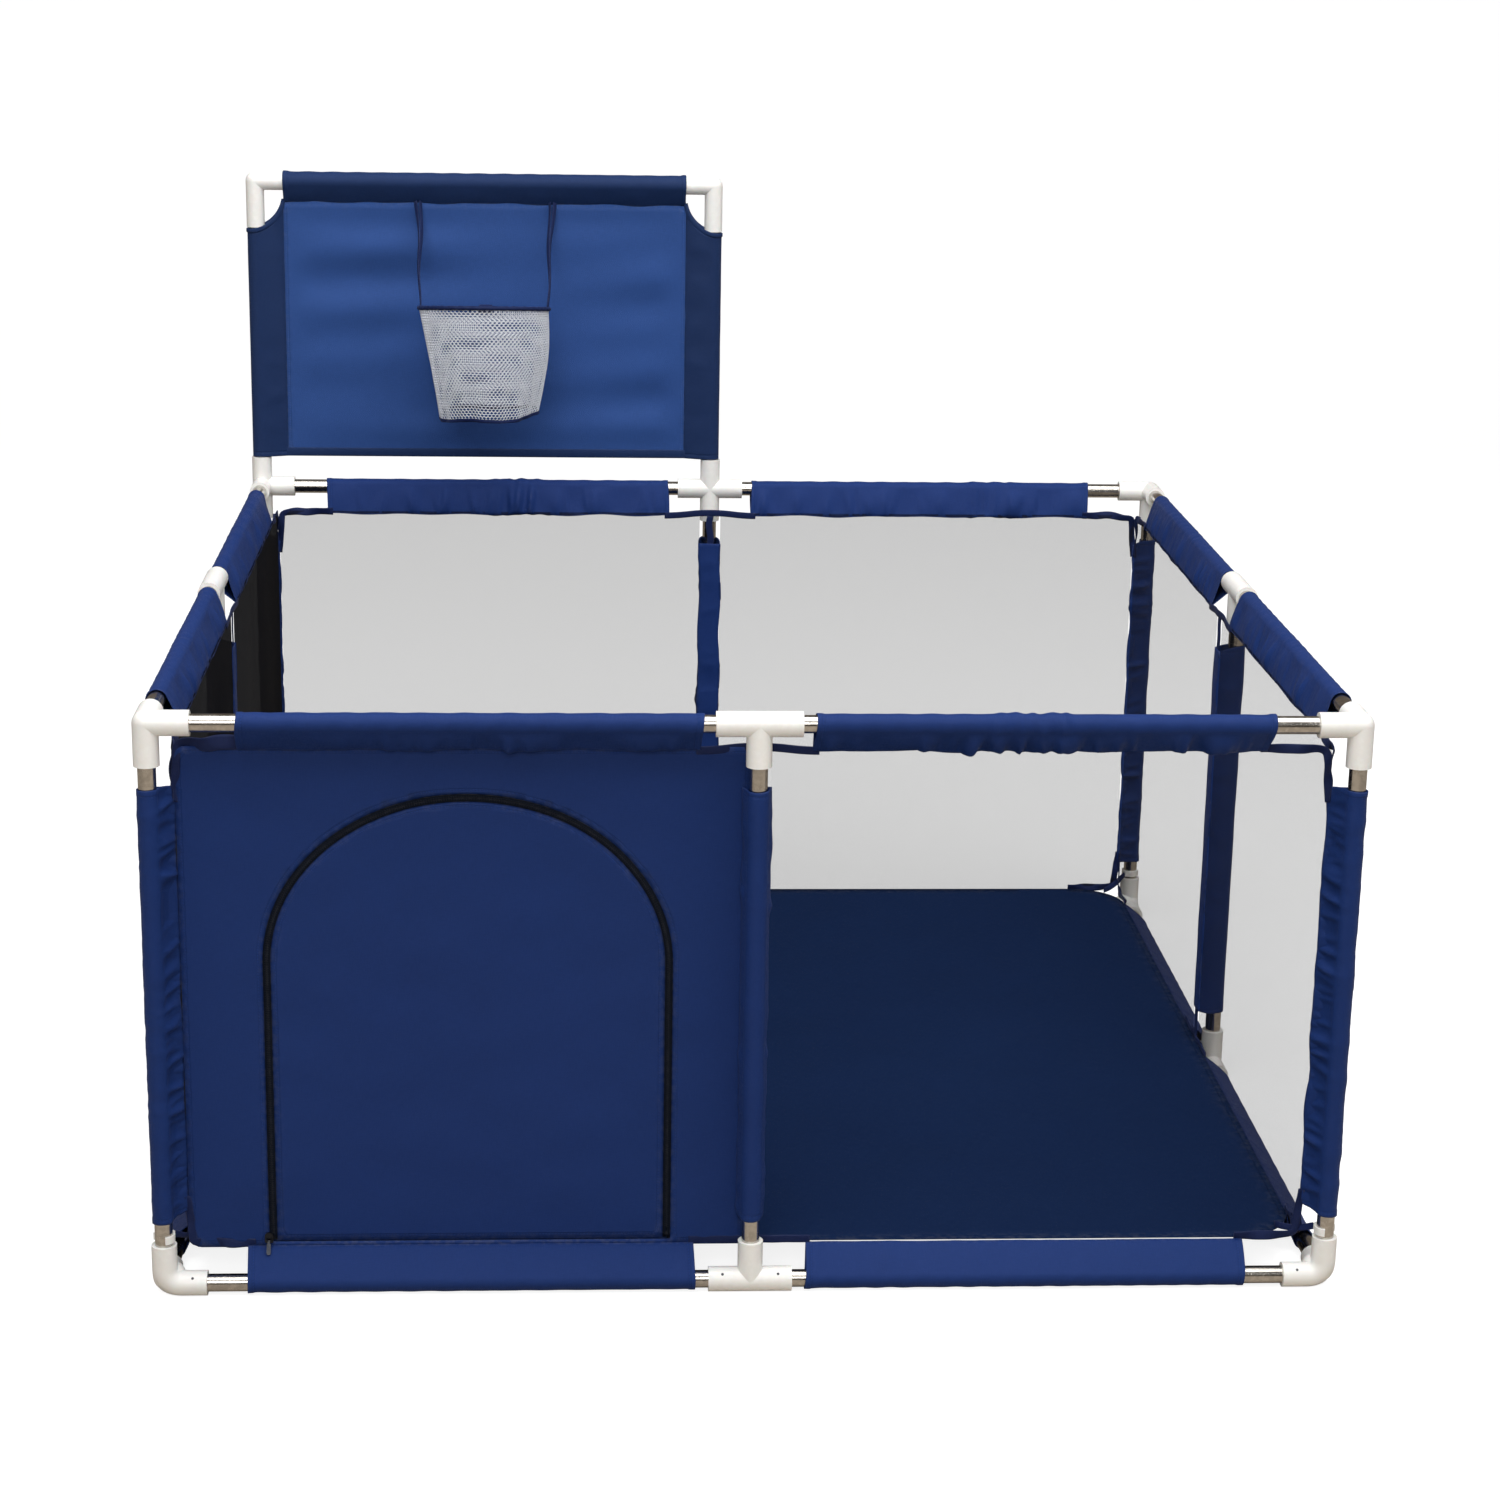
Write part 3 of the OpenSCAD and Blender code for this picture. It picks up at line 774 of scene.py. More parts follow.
def knit_material():
    """Soft knitted cord: fine twisted loops."""
    colour = colours().knit
    made, tree, shader = new_material("hoop_knit", Roughness=0.75, Sheen_Weight=0.4,
                                      Specular_IOR_Level=0.25)
    coords, place = coords_of(tree), place_of(tree)
    holes = place_group(tree, holes_group(), coords=coords, pitch=0.0016, edge=0.0)
    toned = place_group(tree, tone_group(), colour=rgba(colour), place=place, strength=0.25)
    looped = tinted(tree, toned["Colour"], holes["Net"], 0.35, rgba(colour, 0.72))
    tree.links.new(looped, shader.inputs["Base Color"])
    bump(tree, shader, maths(tree, "ADD", holes["Height"], noise(tree, place, 1500.0)), 0.0004)
    return made


def plastic_material():
    """Moulded plastic: faint grain, a soft gloss, a darker, browner colour in the hollows and
    rubbed rims.
    """
    colour = colours().plastic
    made, tree, shader = new_material("moulded_plastic", Specular_IOR_Level=0.45,
                                      Coat_Roughness=0.25, Subsurface_Weight=0.08,
                                      Subsurface_Scale=0.004)
    shader.inputs["Coat Weight"].default_value = 0.15
    place = place_of(tree)
    wear = place_group(tree, wear_group(), place=place)
    toned = place_group(tree, tone_group(), colour=rgba(colour), place=place, strength=0.05)
    # A darker, browner colour where the surface is hollow.
    darker_in_hollows = tinted(tree, toned["Colour"], wear["Hollow"], 0.35, rgba((0.62, 0.59, 0.54)))
    rubbed = tinted(tree, darker_in_hollows, wear["Worn"], 0.3, rgba((0.93, 0.93, 0.92)))
    tree.links.new(rubbed, shader.inputs["Base Color"])
    grain = noise(tree, place, 1400.0, 2.0)
    flow = noise(tree, place, 55.0, 2.0)
    tree.links.new(fade(tree, flow, 0.35, 0.65, 0.32, 0.44), shader.inputs["Roughness"])
    bump(tree, shader, maths(tree, "ADD", grain, times(tree, flow, 2.0)), 0.00008)
    return made


def steel_material(name, colour, rough=(0.12, 0.26), dirt=0.25):
    """Drawn steel tube: long faint draw marks, fine scratches and a warm bloom."""
    made, tree, shader = new_material(name, Metallic=1.0, Specular_IOR_Level=0.5)
    place = place_of(tree)
    wear = place_group(tree, wear_group(), place=place)
    toned = place_group(tree, tone_group(), colour=rgba(colour), place=place, strength=0.10)
    marks = noise(tree, scaled(tree, place, (60.0, 60.0, 60.0)), 1.0, 4.0, 0.7)
    fine = noise(tree, scaled(tree, place, (3000.0, 420.0, 420.0)), 1.0)
    scratches = fade(tree, fine, 0.62, 0.72)
    bloom = blend_colours(tree, times(tree, fade(tree, marks, 0.45, 0.75), dirt),
                          toned["Colour"], rgba([0.85 * c for c in colour]))
    worn = tinted(tree, bloom, wear["Worn"], 0.4, rgba(colour, 1.5))
    tree.links.new(worn, shader.inputs["Base Color"])
    shine = maths(tree, "ADD", fade(tree, marks, 0.3, 0.7, rough[0], rough[1]),
                  times(tree, scratches, 0.08))
    tree.links.new(shine, shader.inputs["Roughness"])
    bump(tree, shader, maths(tree, "ADD", marks, scratches), 0.00003)
    return made


def teeth_material():
    """Moulded nylon teeth, with a dull gloss."""
    colour = colours().zip
    made, tree, shader = new_material("nylon_teeth", Specular_IOR_Level=0.15)
    place = place_of(tree)
    wear = place_group(tree, wear_group(), place=place)
    toned = place_group(tree, tone_group(), colour=rgba(colour), place=place, strength=0.4)
    rubbed = tinted(tree, toned["Colour"], wear["Worn"], 0.4, rgba((0.02, 0.022, 0.03)))
    tree.links.new(rubbed, shader.inputs["Base Color"])
    tree.links.new(fade(tree, toned["Tone"], 0.9, 1.1, 0.28, 0.45), shader.inputs["Roughness"])
    bump(tree, shader, noise(tree, place, 2500.0), 0.00004)
    return made


FINISHES = {
    "blue_cloth": lambda: cloth_material("blue_cloth", colours().cloth),
    "board_cloth": lambda: cloth_material("board_cloth", colours().board, tone=0.35, sheen=0.03),
    # A darker copy of the board cloth, at 0.38 of its colour: painted shade on the board's
    # sleeves, bound ends, cut-out bindings and hem.
    "board_painted_shade": lambda: cloth_material("board_painted_shade", [0.38 * c for c in colours().board]),
    "floor_cloth": lambda: cloth_material(
        "floor_cloth", colours().floor, thread=0.0009, tone=0.35, sheen=0.0, rough=(0.7, 0.9),
        shine=0.02),
    "navy_tape": lambda: cloth_material(
        "navy_tape", colours().tape, thread=0.0008, tone=0.25, sheen=0.05, stitch=0.5),
    "zip_tape": lambda: cloth_material(
        "zip_tape", colours().zip, thread=0.0005, tone=0.3, sheen=0.0, stitch=0.5, shine=0.04),
    "pale_net": lambda: net_material("pale_net", colours().pale_net, 0.0, 0.56, 0.30),
    "sheer_net": lambda: net_material("sheer_net", colours().pale_net, -0.9, 0.10, 0.01),
    # A darker, nearly opaque copy of the netting for the left walls: painted shade.
    "painted_shade_net": lambda: net_material("painted_shade_net", colours().painted_shade_net, 0.6, 1.0, 0.975),
    "hoop_knit": knit_material,
    "moulded_plastic": plastic_material,
    "tube_steel": lambda: steel_material("tube_steel", colours().steel),
    "dark_steel": lambda: steel_material("dark_steel", (0.06, 0.06, 0.065), (0.3, 0.45)),
    "zip_metal": lambda: steel_material("zip_metal", (0.030, 0.032, 0.038), (0.3, 0.45), 0.05),
    "wire_steel": lambda: steel_material("wire_steel", (0.5, 0.5, 0.5), (0.2, 0.3)),
    "nylon_teeth": teeth_material,
}


# ---- Sleeves ----


def hemmed(from_end):
    """1 where a folded hem makes a cloth thicker, and 0 past it."""
    return smooth_step(0.0, 0.3, 1 - smooth_step(0.0, cloth().hem, from_end))


def rail_sleeve(rng, start, end, radius, seam, gather, slack, pucker, sag=1.0):
    """The cloth round one rail: rows run along it.

    gather is the share of the way along at which the cloth is bunched, how far the bunch
    reaches, and its height. Returns along, inward, up and the distance from the nearer end.
    """
    u = spaced(start, end, 0.0025, dense=0.010)
    points, outward, leg, seamward = drop_section(radius, seam)
    s, t = u[:, None], np.linspace(0, 1, len(points))[None, :]
    span = end - start
    from_end = np.minimum(s - start, end - s)
    depth = 0.04 * (t - 0.5)
    outer = (t > 0.5).astype(float)
    places = start + span * np.sort(rng.uniform(0.02, 0.98, int(span / 0.016)))
    seam_puckers = ridges(rng, s, depth, places, (0.003, 0.009), (-0.9, 0.9))
    folds = waves(rng, s, depth, 4, 0.05, 0.16, 1.2)
    middle = start + span * gather[0]
    bunch_at = middle + gather[1] * np.linspace(-1, 1, 7) + rng.uniform(-0.004, 0.004, 7)
    bunch = ridges(rng, s, depth, bunch_at, (0.0035, 0.007), (-0.7, 0.7))
    around = leg * 0.8 + 0.45
    out = slack * leg * (0.6 + 0.4 * outer)
    out = out + pucker * (seam_puckers - 0.35) * leg * (0.4 + 0.6 * seamward)
    out = out + pucker * 0.55 * folds * leg
    out = out + gather[2] * bunch * around
    out = out + 0.00025 * waves(rng, s, depth, 3, 0.02, 0.05, 2.0) * (1 - leg)
    out = np.maximum(out + 0.0006 * hemmed(from_end), -0.0003)
    drop = -0.0011 * (0.8 + waves(rng, s, 0 * t, 3, 0.06, 0.2)) * np.maximum(leg, seamward) * sag
    along = s + 0.0012 * np.sin(TAU * t + rng.uniform(0, TAU)) * (from_end < 0.02)
    inward = points[:, 0] + out * outward[:, 0]
    up = points[:, 1] + out * outward[:, 1] + drop
    return along + 0 * inward, inward, up, from_end + 0 * inward


def build_top_sleeves():
    """One pair of sleeves on each side's top rails, seamed to the walls."""
    seam = (WALL_IN, WALL_HIGH + SEAM - Z_TOP)
    even = ((0.5, 0.04, 0.0008),) * 2
    gathers = (((0.30, 0.03, 0.0005), (0.47, 0.034, 0.0040)), even,
               ((0.28, 0.03, 0.0022), (0.44, 0.03, 0.0036)), even)
    for k, name in enumerate(SIDES):
        mesher = Mesher()
        for bay, gather in zip((-1, 1), gathers[k]):
            rng = np.random.default_rng(100 + 10 * k + bay)
            start, end = (TOP_START - HALF, -TOP_END) if bay < 0 else (TOP_END, HALF - TOP_START)
            loose = 0.0080 if (k, bay) == (0, 1) else 0.0036
            along, inward, up, edge = rail_sleeve(
                rng, start, end, RAIL_SLEEVE_R, seam, gather, 0.0022, loose)
            mesher.grid(on_side(k, along, inward, Z_TOP + up), edge=edge)
        made = thicken(mesher.build("top_sleeve_cloth_" + name), cloth().thickness)
        finish_piece(made, "blue_cloth", "blue_cloth", "yard_frame", "top_sleeve_" + name)


def build_bottom_sleeves():
    """The sleeves on the bottom rails, whose seams stand up to the walls and the floor."""
    seam = (WALL_IN, FLOOR_Z - 0.0005 - SEAM - Z_LOW)
    mesher = Mesher()
    for k in range(4):
        for bay in (-1, 1):
            rng = np.random.default_rng(300 + 10 * k + bay)
            start, end = (LOW_START - HALF, -LOW_END) if bay < 0 else (LOW_END, HALF - LOW_START)
            along, inward, up, edge = rail_sleeve(
                rng, start, end, RAIL_SLEEVE_R, seam, (0.5, 0.05, 0.0002), 0.0016, 0.0006, 0.2)
            mesher.grid(on_side(k, along, inward, Z_LOW + up), edge=edge)
    made = thicken(mesher.build("bottom_sleeve_cloth"), cloth().thickness)
    finish_piece(made, "blue_cloth", "blue_cloth", "yard_frame", "bottom_sleeves")


def post_heights(rng, section, tail_drop, seamward):
    """Heights of a post sleeve's rows; the ends dip towards the tail."""
    v = spaced(0, 1, 0.0052, dense=0.02, fine=0.004)[:, None]
    low = POST_LOW + tail_drop * seamward ** 2
    high = POST_HIGH - tail_drop * seamward ** 2
    wobble = 0.0008 * np.sin(np.linspace(0, TAU, len(section)) + rng.uniform(0, TAU))
    return low + wobble + (high - low) * v


def build_corner_sleeves():
    """The sleeves on the corner posts. Their tails point in to where two walls meet."""
    mesher = Mesher()
    tail = WALL_END - 0.0005
    for k in range(4):
        rng = np.random.default_rng(500 + k)
        points, outward, leg, seamward = drop_section(CORNER_SLEEVE_R, (tail, tail), 25, 11)
        z = post_heights(rng, points, 0.004, seamward)
        t = np.linspace(-0.5, 0.5, len(points))[None, :] * 0.09
        creases_at = rng.uniform(POST_LOW, POST_HIGH, 56)
        creases = ridges(rng, z, t, creases_at, (0.0025, 0.006), (-0.35, 0.35))
        long_folds = waves(rng, t, z, 3, 0.02, 0.05, 0.08)
        out = 0.0034 * creases * (leg * 0.9 + 0.08) - 0.0040 * leg + 0.0008 * long_folds * leg
        out = out + 0.0004 * waves(rng, z, t, 3, 0.03, 0.1)
        edge = np.minimum(z - POST_LOW, POST_HIGH - z)
        out = np.where(leg > 0, out, np.maximum(out, -0.0008)) + 0.0005 * hemmed(edge)
        wave = 0.0011 * waves(rng, z, 0 * t, 4, 0.05, 0.14) * seamward
        x = points[:, 0] + out * outward[:, 0] + wave
        y = points[:, 1] + out * outward[:, 1] + wave
        mesher.grid(on_side(k, x - HALF, y, z), edge=edge)
    made = thicken(mesher.build("corner_post_cloth"), cloth().thickness)
    finish_piece(made, "blue_cloth", "blue_cloth", "yard_frame", "corner_post_sleeves")


def pocket_section(radius, half_width, depth, arc_points=21, leg_points=7, back_points=7):
    """A cloth's path round a post: from one seam, round the front to the other seam, and back.

    Returns what drop_section returns.
    """
    start = math.atan2(depth, half_width) - math.acos(radius / math.hypot(half_width, depth))
    angles = np.linspace(start, -math.pi - start, arc_points)
    out = np.stack([np.cos(angles), np.sin(angles)], axis=1)
    ring = radius * out
    steps = np.linspace(0, 1, leg_points, endpoint=False)[:, None]
    seams = np.array([[half_width, depth], [-half_width, depth]])
    right = seams[0] + (ring[0] - seams[0]) * steps
    left = (seams[1] + (ring[-1] - seams[1]) * steps)[::-1]
    back = np.linspace(seams[1], seams[0], back_points + 2)
    points = np.concatenate([right, ring, left, back])
    outward = np.concatenate([
        np.repeat(out[:1], leg_points, 0), out, np.repeat(out[-1:], leg_points, 0),
        np.repeat([[0, 1.0]], back_points + 2, 0)])
    loose = np.sin(math.pi * steps[:, 0])
    tail = 1 - steps[:, 0]
    leg = np.concatenate([loose, np.zeros(arc_points), loose[::-1], np.zeros(1),
                          0.6 * np.sin(np.linspace(0, math.pi, back_points + 2)[1:])])
    seamward = np.concatenate([tail, np.zeros(arc_points), tail[::-1], np.ones(back_points + 2)])
    return points, outward, leg, seamward


def build_mid_sleeves():
    """The flat sleeves on the mid posts, seamed to the walls on both sides."""
    mesher = Mesher()
    for k in range(4):
        rng = np.random.default_rng(600 + k)
        points, outward, leg, seamward = (
            part[::-1] for part in pocket_section(MID_SLEEVE_R, POCKET_HALF, WALL_IN + 0.0012))
        z = post_heights(rng, points, 0.005, seamward)
        t = np.linspace(-0.5, 0.5, len(points))[None, :] * 0.1
        creases_at = rng.uniform(POST_LOW, POST_HIGH, 14)
        creases = ridges(rng, z, t, creases_at, (0.004, 0.012), (-0.4, 0.4))
        out = 0.0012 * leg + 0.0014 * creases * (leg + 0.1)
        out = np.maximum(out + 0.0004 * waves(rng, z, t, 3, 0.05, 0.15), -0.0006)
        sides = {side: waves(rng, z, 0 * t, 4, 0.05, 0.16) for side in (-1, 1)}
        height = 0.0006 if k == 0 else 0.0016
        sway = np.where(points[:, 0] > 0, sides[1], sides[-1]) * seamward * height
        sway = sway * np.clip(np.abs(points[:, 0]) / POCKET_HALF, 0, 1)
        x = points[:, 0] + out * outward[:, 0] + sway
        y = points[:, 1] + out * outward[:, 1]
        edge = np.minimum(z - POST_LOW, POST_HIGH - z)
        mesher.grid(on_side(k, x, y, z), edge=edge)
    made = thicken(mesher.build("mid_post_cloth"), cloth().thickness)
    finish_piece(made, "blue_cloth", "blue_cloth", "yard_frame", "mid_post_sleeves")


# ---- Walls ----

# The two left walls take the darker, nearly opaque netting, which paints in the shade that lies on
# them.
WALLS = {
    "wall_front_right": (0, 1, "sheer_net"), "wall_right_front": (1, -1, "pale_net"),
    "wall_right_back": (1, 1, "pale_net"), "wall_back_right": (2, -1, "pale_net"),
    "wall_back_left": (2, 1, "pale_net"), "wall_left_back": (3, -1, "painted_shade_net"),
    "wall_left_front": (3, 1, "painted_shade_net"),
}


def wall_wave(rng, x, z, edge):
    """How far a wall stands out of its plane: soft waves that die away at its seams."""
    return cloth().wall_sag * waves(rng, x, z, 5, 0.12, 0.4) * smooth_step(0.0, 0.08, edge)


def wall_outline(x0, x1):
    """A wall's outline and flat size: rounded at the open corner, square at the mid post."""
    z0, z1, r = WALL_LOW - TUCK, WALL_HIGH + TUCK, WALL_CORNER_R
    outline = np.concatenate([
        [[x1, z0]], [[x1, z1]],
        arc((x0 + r, z1 - r), r, 90, 180, 5), arc((x0 + r, z0 + r), r, 180, 270, 5)])
    return outline, (x1 - x0, z1 - z0)


def build_walls():
    """The seven netting walls. Each is one sheet, hung between the sleeves."""
    outline, flat = wall_outline(WALL_END - HALF, SEAM - POCKET_HALF)
    for name, (k, bay, finish) in WALLS.items():
        rng = np.random.default_rng(700 + 10 * k + bay)
        slack = rng.integers(1, 1000)

        def lay(x, z, edge):
            out = wall_wave(np.random.default_rng(slack), x, z, edge)
            return on_side(k, -bay * x, WALL_IN + out, z)

        made = cut_sheet("net_" + name[5:], outline, [], 0.011, lay, bound=False)
        slot = "dark_mesh" if finish == "painted_shade_net" else "pale_mesh"
        finish_piece(made, finish, slot, "yard_frame", name)


def side_vector(k, along, inward, up):
    """A direction on side k."""
    return on_side(k, along, np.asarray(inward, float) + HALF, up)


def corner_band(k, bay, top, rng):
    """An open corner's binding: from a rail sleeve along the wall's edge to the post's sleeve."""
    down = -1 if top else 1
    deep = (k, bay, top) == (0, -1, True)
    edge_z = (WALL_HIGH + (0.008 if deep else 0.0035)) if top else WALL_LOW + 0.001
    start = (TOP_START if top else LOW_START) + 0.008
    stop_z = (POST_HIGH if top else POST_LOW) + 0.02 * down
    end = WALL_END
    flat = smooth_path([
        (start, edge_z), (start - 0.012, edge_z), (end + 0.020, edge_z + 0.001 * down),
        (end + 0.004, edge_z + 0.002 * down), (end + 0.0025, edge_z + 0.012 * down),
        (end + 0.0015, (edge_z + stop_z) / 2), (end - 0.002, stop_z)], 0.0025)
    run = np.linspace(0, 1, len(flat))
    free = np.sin(math.pi * np.clip(run * 1.1 - 0.05, 0, 1))
    sway = 0.0024 * waves(rng, run, 0 * run, 3, 0.25, 0.6) * free
    lift = 0.0012 * waves(rng, run, 0 * run, 3, 0.2, 0.5) * free
    path = on_side(k, bay * (HALF - flat[:, 0]), WALL_IN + sway, flat[:, 1] + lift)
    way = np.gradient(flat, axis=0)
    way /= np.linalg.norm(way, axis=1, keepdims=True)
    lean = 0.35 * np.sin(run * 14 + bay + k)
    across = side_vector(k, way[:, 1], lean, bay * way[:, 0])
    wider = 1.75 if deep else 1.15
    width = cloth().tape_width * (1 + (wider - 1) * (1 - smooth_step(0.40, 0.58, run)))
    return tape(path, across, width, BINDING)


def build_bindings():
    """Navy binding round the walls' open corners, and across each mid post."""
    mesher = Mesher()
    for k in range(4):
        for bay in (-1, 1):
            for top in (True, False):
                rng = np.random.default_rng(800 + 20 * k + 4 * bay + top)
                mesher.grid(corner_band(k, bay, top, rng), wrap=True, caps=True)
        for top in (True, False):
            rng = np.random.default_rng(900 + 4 * k + top)
            reach = (TOP_END if top else LOW_END) + 0.006
            x = spaced(-reach, reach, 0.0025)
            rise = 0.004 * np.cos(x / reach * math.pi / 2) ** 2 if top else 0 * x
            z = (WALL_HIGH if top else WALL_LOW + 0.001) + rise
            sway = 0.0012 * waves(rng, x, 0 * x, 3, 0.03, 0.09) * np.cos(x / reach * math.pi / 2)
            path = on_side(k, x, WALL_IN + sway, z)
            mesher.tape(path, UP, cloth().tape_width, BINDING)
            ends = (POST_HIGH - 0.012, WALL_HIGH) if top else (WALL_LOW, POST_LOW + 0.012)
            z = np.linspace(*ends, 16)
            path = on_side(k, 0.0012 * np.sin(z * 160 + k), WALL_IN + 0 * z, z)
            mesher.tape(path, side_vector(k, 1.0, 0.15, 0.0), 0.0095, BINDING)
    finish_piece(mesher.build("wall_binding"), "navy_tape", "navy_webbing", "yard_frame")


# ---- Front panel and door ----

ZIP_OVERLAP = 0.0034       # how far the panel and the flap stop short of the zip's middle
TOOTH_PITCH = 0.0026
TOOTH_HALF = 0.0008        # half a tooth's width along the zip
TOOTH = ((-0.0013, -1), (-0.0013, 1), (0.0010, 0.7), (0.0010, -0.7))
TOOTH_RINGS = ((0.0006, 1.0), (-0.0002, 1.0), (-0.0006, 0.7))       # depth and size


def door_outline(grow, low, step=4):
    """The doorway's outline, grown outwards: straight sides and an elliptical arch."""
    spring, half = cloth().arch_spring, DOOR_HALF + grow
    t = np.radians(np.arange(0, 180 + step, step))
    x = DOOR_X + half * np.cos(t)
    z = spring + (DOOR_TOP - spring + grow) * np.sin(t)
    return np.concatenate([[[DOOR_X + half, low]], np.stack([x, z], 1), [[DOOR_X - half, low]]])


def panel_wave(x, z):
    """How far the panel, the zip and the flap stand out of their plane."""
    rng = np.random.default_rng(41)
    from_side = np.minimum(x - (WALL_END - HALF), -x)
    from_edge = np.minimum(from_side, np.minimum(z - WALL_LOW, WALL_HIGH - z))
    height = 0.0011 * waves(rng, x, z, 6, 0.10, 0.34, 1.0)
    height = height + 0.0005 * waves(rng, z, x, 4, 0.05, 0.12, 0.6)
    return height * smooth_step(0.004, 0.09, from_edge)


def build_panel():
    """The solid front-left cloth, with its doorway cut out."""
    outline, flat = wall_outline(WALL_END - HALF, PANEL_END)
    hole = door_outline(ZIP_OVERLAP, FLAP_LOW - 0.0016)
    made = cut_sheet("front_cloth", outline, [hole], 0.008,
                     lambda x, z, edge: on_side(0, x, WALL_IN + panel_wave(x, z), z))
    finish_piece(thicken(made, cloth().thickness, 0.0), "blue_cloth", "blue_cloth",
                 "yard_frame", "front_panel")


def band_along(inner, outer, low, columns=5):
    """A strip between two growths of the doorway's outline: rows follow the outline."""
    lines = []
    for grow in np.linspace(inner, outer, columns):
        corners = door_outline(grow, low, 3)
        sides = int(round((cloth().arch_spring - low) / 0.006))
        up = np.linspace(corners[0], corners[1], sides, endpoint=False)
        down = np.linspace(corners[-2], corners[-1], sides + 1)[1:]
        lines.append(np.concatenate([up, corners[1:-1], down]))
    return np.stack(lines, axis=1)


def build_zip():
    """Both halves of the zip: ribbed tapes, and a row of nylon teeth on each."""
    for half, body, node, sign in (("outer", "yard_frame", "zip_tape_fixed", 1),
                                   ("inner", "door", "zip_tape_door", -1)):
        flat = band_along(sign * 0.0003, sign * 0.0040, FLAP_LOW + (0.0015 if sign < 0 else 0))
        bead = 0.0003 * np.array([0.0, 1.0, 0.2, 0.3, 0.0])
        out = WALL_IN - 0.0004 + panel_wave(flat[..., 0], flat[..., 1]) - bead
        ribbed = Mesher().grid(on_side(0, flat[..., 0], out, flat[..., 1]))
        made = thicken(ribbed.build("zip_tape_" + half), 0.0010, float(sign))
        finish_piece(made, "zip_tape", "zip_tape", body, node)
        teeth = Mesher()
        line = door_outline(sign * 0.0011, FLAP_LOW + 0.012, 1)
        run = np.concatenate([[0], np.cumsum(np.linalg.norm(np.diff(line, axis=0), axis=1))])
        at = np.arange(TOOTH_PITCH * (0.5 if sign > 0 else 1.0), run[-1], TOOTH_PITCH)
        middle = np.stack([np.interp(at, run, line[:, i]) for i in (0, 1)], axis=1)
        ahead = np.stack([np.interp(at + 1e-4, run, line[:, i]) for i in (0, 1)], axis=1) - middle
        ahead /= np.linalg.norm(ahead, axis=1, keepdims=True) + 1e-12
        side = np.stack([ahead[:, 1], -ahead[:, 0]], axis=1) * sign
        face = WALL_IN - 0.0013 + panel_wave(middle[:, 0], middle[:, 1])
        for p, along, out, y in zip(middle, ahead, side, face):
            rings = []
            for depth, size in TOOTH_RINGS:
                spots = np.array(
                    [p + out * a * size + along * b * TOOTH_HALF * size for a, b in TOOTH])
                rings.append(on_side(0, spots[:, 0], y + depth, spots[:, 1]))
            teeth.grid(np.stack(rings), wrap=True, caps=True)
        made = teeth.build("zip_teeth_" + half)
        finish_piece(made, "nylon_teeth", "zip_tape", body)


def build_flap():
    """The door flap, cut to the inside of the zip."""
    outline = door_outline(-ZIP_OVERLAP, FLAP_LOW)
    made = cut_sheet("door_cloth", outline, [], 0.008,
                     lambda x, z, edge: on_side(0, x, WALL_IN + panel_wave(x, z), z))
    finish_piece(thicken(made, cloth().thickness, 0.0), "blue_cloth", "blue_cloth",
                 "door", "door_flap")


# ---- Floor ----


def build_floor():
    """The cloth floor: hemmed, a little slack in the middle, with rounded corners."""
    r, f = FLOOR_CORNER_R, FLOOR_HALF
    outline = np.concatenate([
        arc((sx * (f - r), sy * (f - r)), r, a, a + 90, 10)
        for sx, sy, a in ((1, 1, 0), (-1, 1, 90), (-1, -1, 180), (1, -1, 270))])

    def lay(x, y, edge):
        rng = np.random.default_rng(61)
        inner = smooth_step(0.0, 0.20, edge)
        soft = 0.0011 * waves(rng, x, y, 5, 0.15, 0.5, 1.0)
        soft = soft + 0.0008 * waves(rng, y, x, 5, 0.12, 0.4, 1.0)
        sag = cloth().floor_sag * smooth_step(0.0, 0.55, edge)
        return np.stack([x, y, FLOOR_Z + soft * inner - sag], axis=1)

    made = cut_sheet("floor_cloth_sheet", outline, [], 0.016, lay)
    finish_piece(thicken(made, FLOOR_CLOTH, 0.0), "floor_cloth", "floor_cloth", "yard_frame",
                 "floor_sheet")


def build_ties():
    """A navy tie from each clip down to the floor's corner."""
    mesher = Mesher()
    low, high = box("corner_ties")
    top_z, foot_z = high[2] - 0.004, low[2] + 0.004
    near, far = (0.014 / math.sqrt(2)), (0.064 / math.sqrt(2))
    steps = np.linspace(0, 1, 26)
    for k in range(4):
        d = near + (far - near) * steps
        z = top_z + (foot_z - top_z) * steps - 0.0035 * np.sin(math.pi * steps)
        path = on_side(k, d - HALF, d, z)
        twist = 0.5 * np.sin(math.pi * steps)
        across = np.array(UP) + side_vector(k, 1.0, -1.0, 0.0) * twist[:, None]
        mesher.tape(path, across, 0.0075, 0.0013)
    made = mesher.build("floor_ties")
    finish_piece(made, "navy_tape", "navy_webbing", "yard_frame", "corner_ties")


# ---- Board ----

BOARD_HALF = HALF / 2

# Each top corner is cut away in a quarter circle, whose middle is out from the board's post.
CUT_R, CUT_OUT = 0.048, 0.009
CUT_Z = Z_BOARD - 0.016

# How far the seams are from the tubes' axes, and the top sleeve's ends from the posts'.
SIDE_TAIL, TOP_TAIL, TOP_CLEAR = 0.038, 0.027, 0.039
BOUND_END = 0.0055


def board_wave(x, z, edge):
    """Soft wrinkles across the board, stronger low down and slack at its seams."""
    rng = np.random.default_rng(73)
    long_waves = waves(rng, z, x, 6, 0.05, 0.13, 0.10)
    drift = 1 + 0.5 * waves(rng, x, z, 3, 0.2, 0.5)
    return cloth().board_wave * long_waves * drift * smooth_step(0.0, 0.05, edge)


def board_place(x, out, z):
    """A point on the board: across it, out from its face, and up."""
    return on_side(2, -BOARD_X - np.asarray(x, float), out, z)


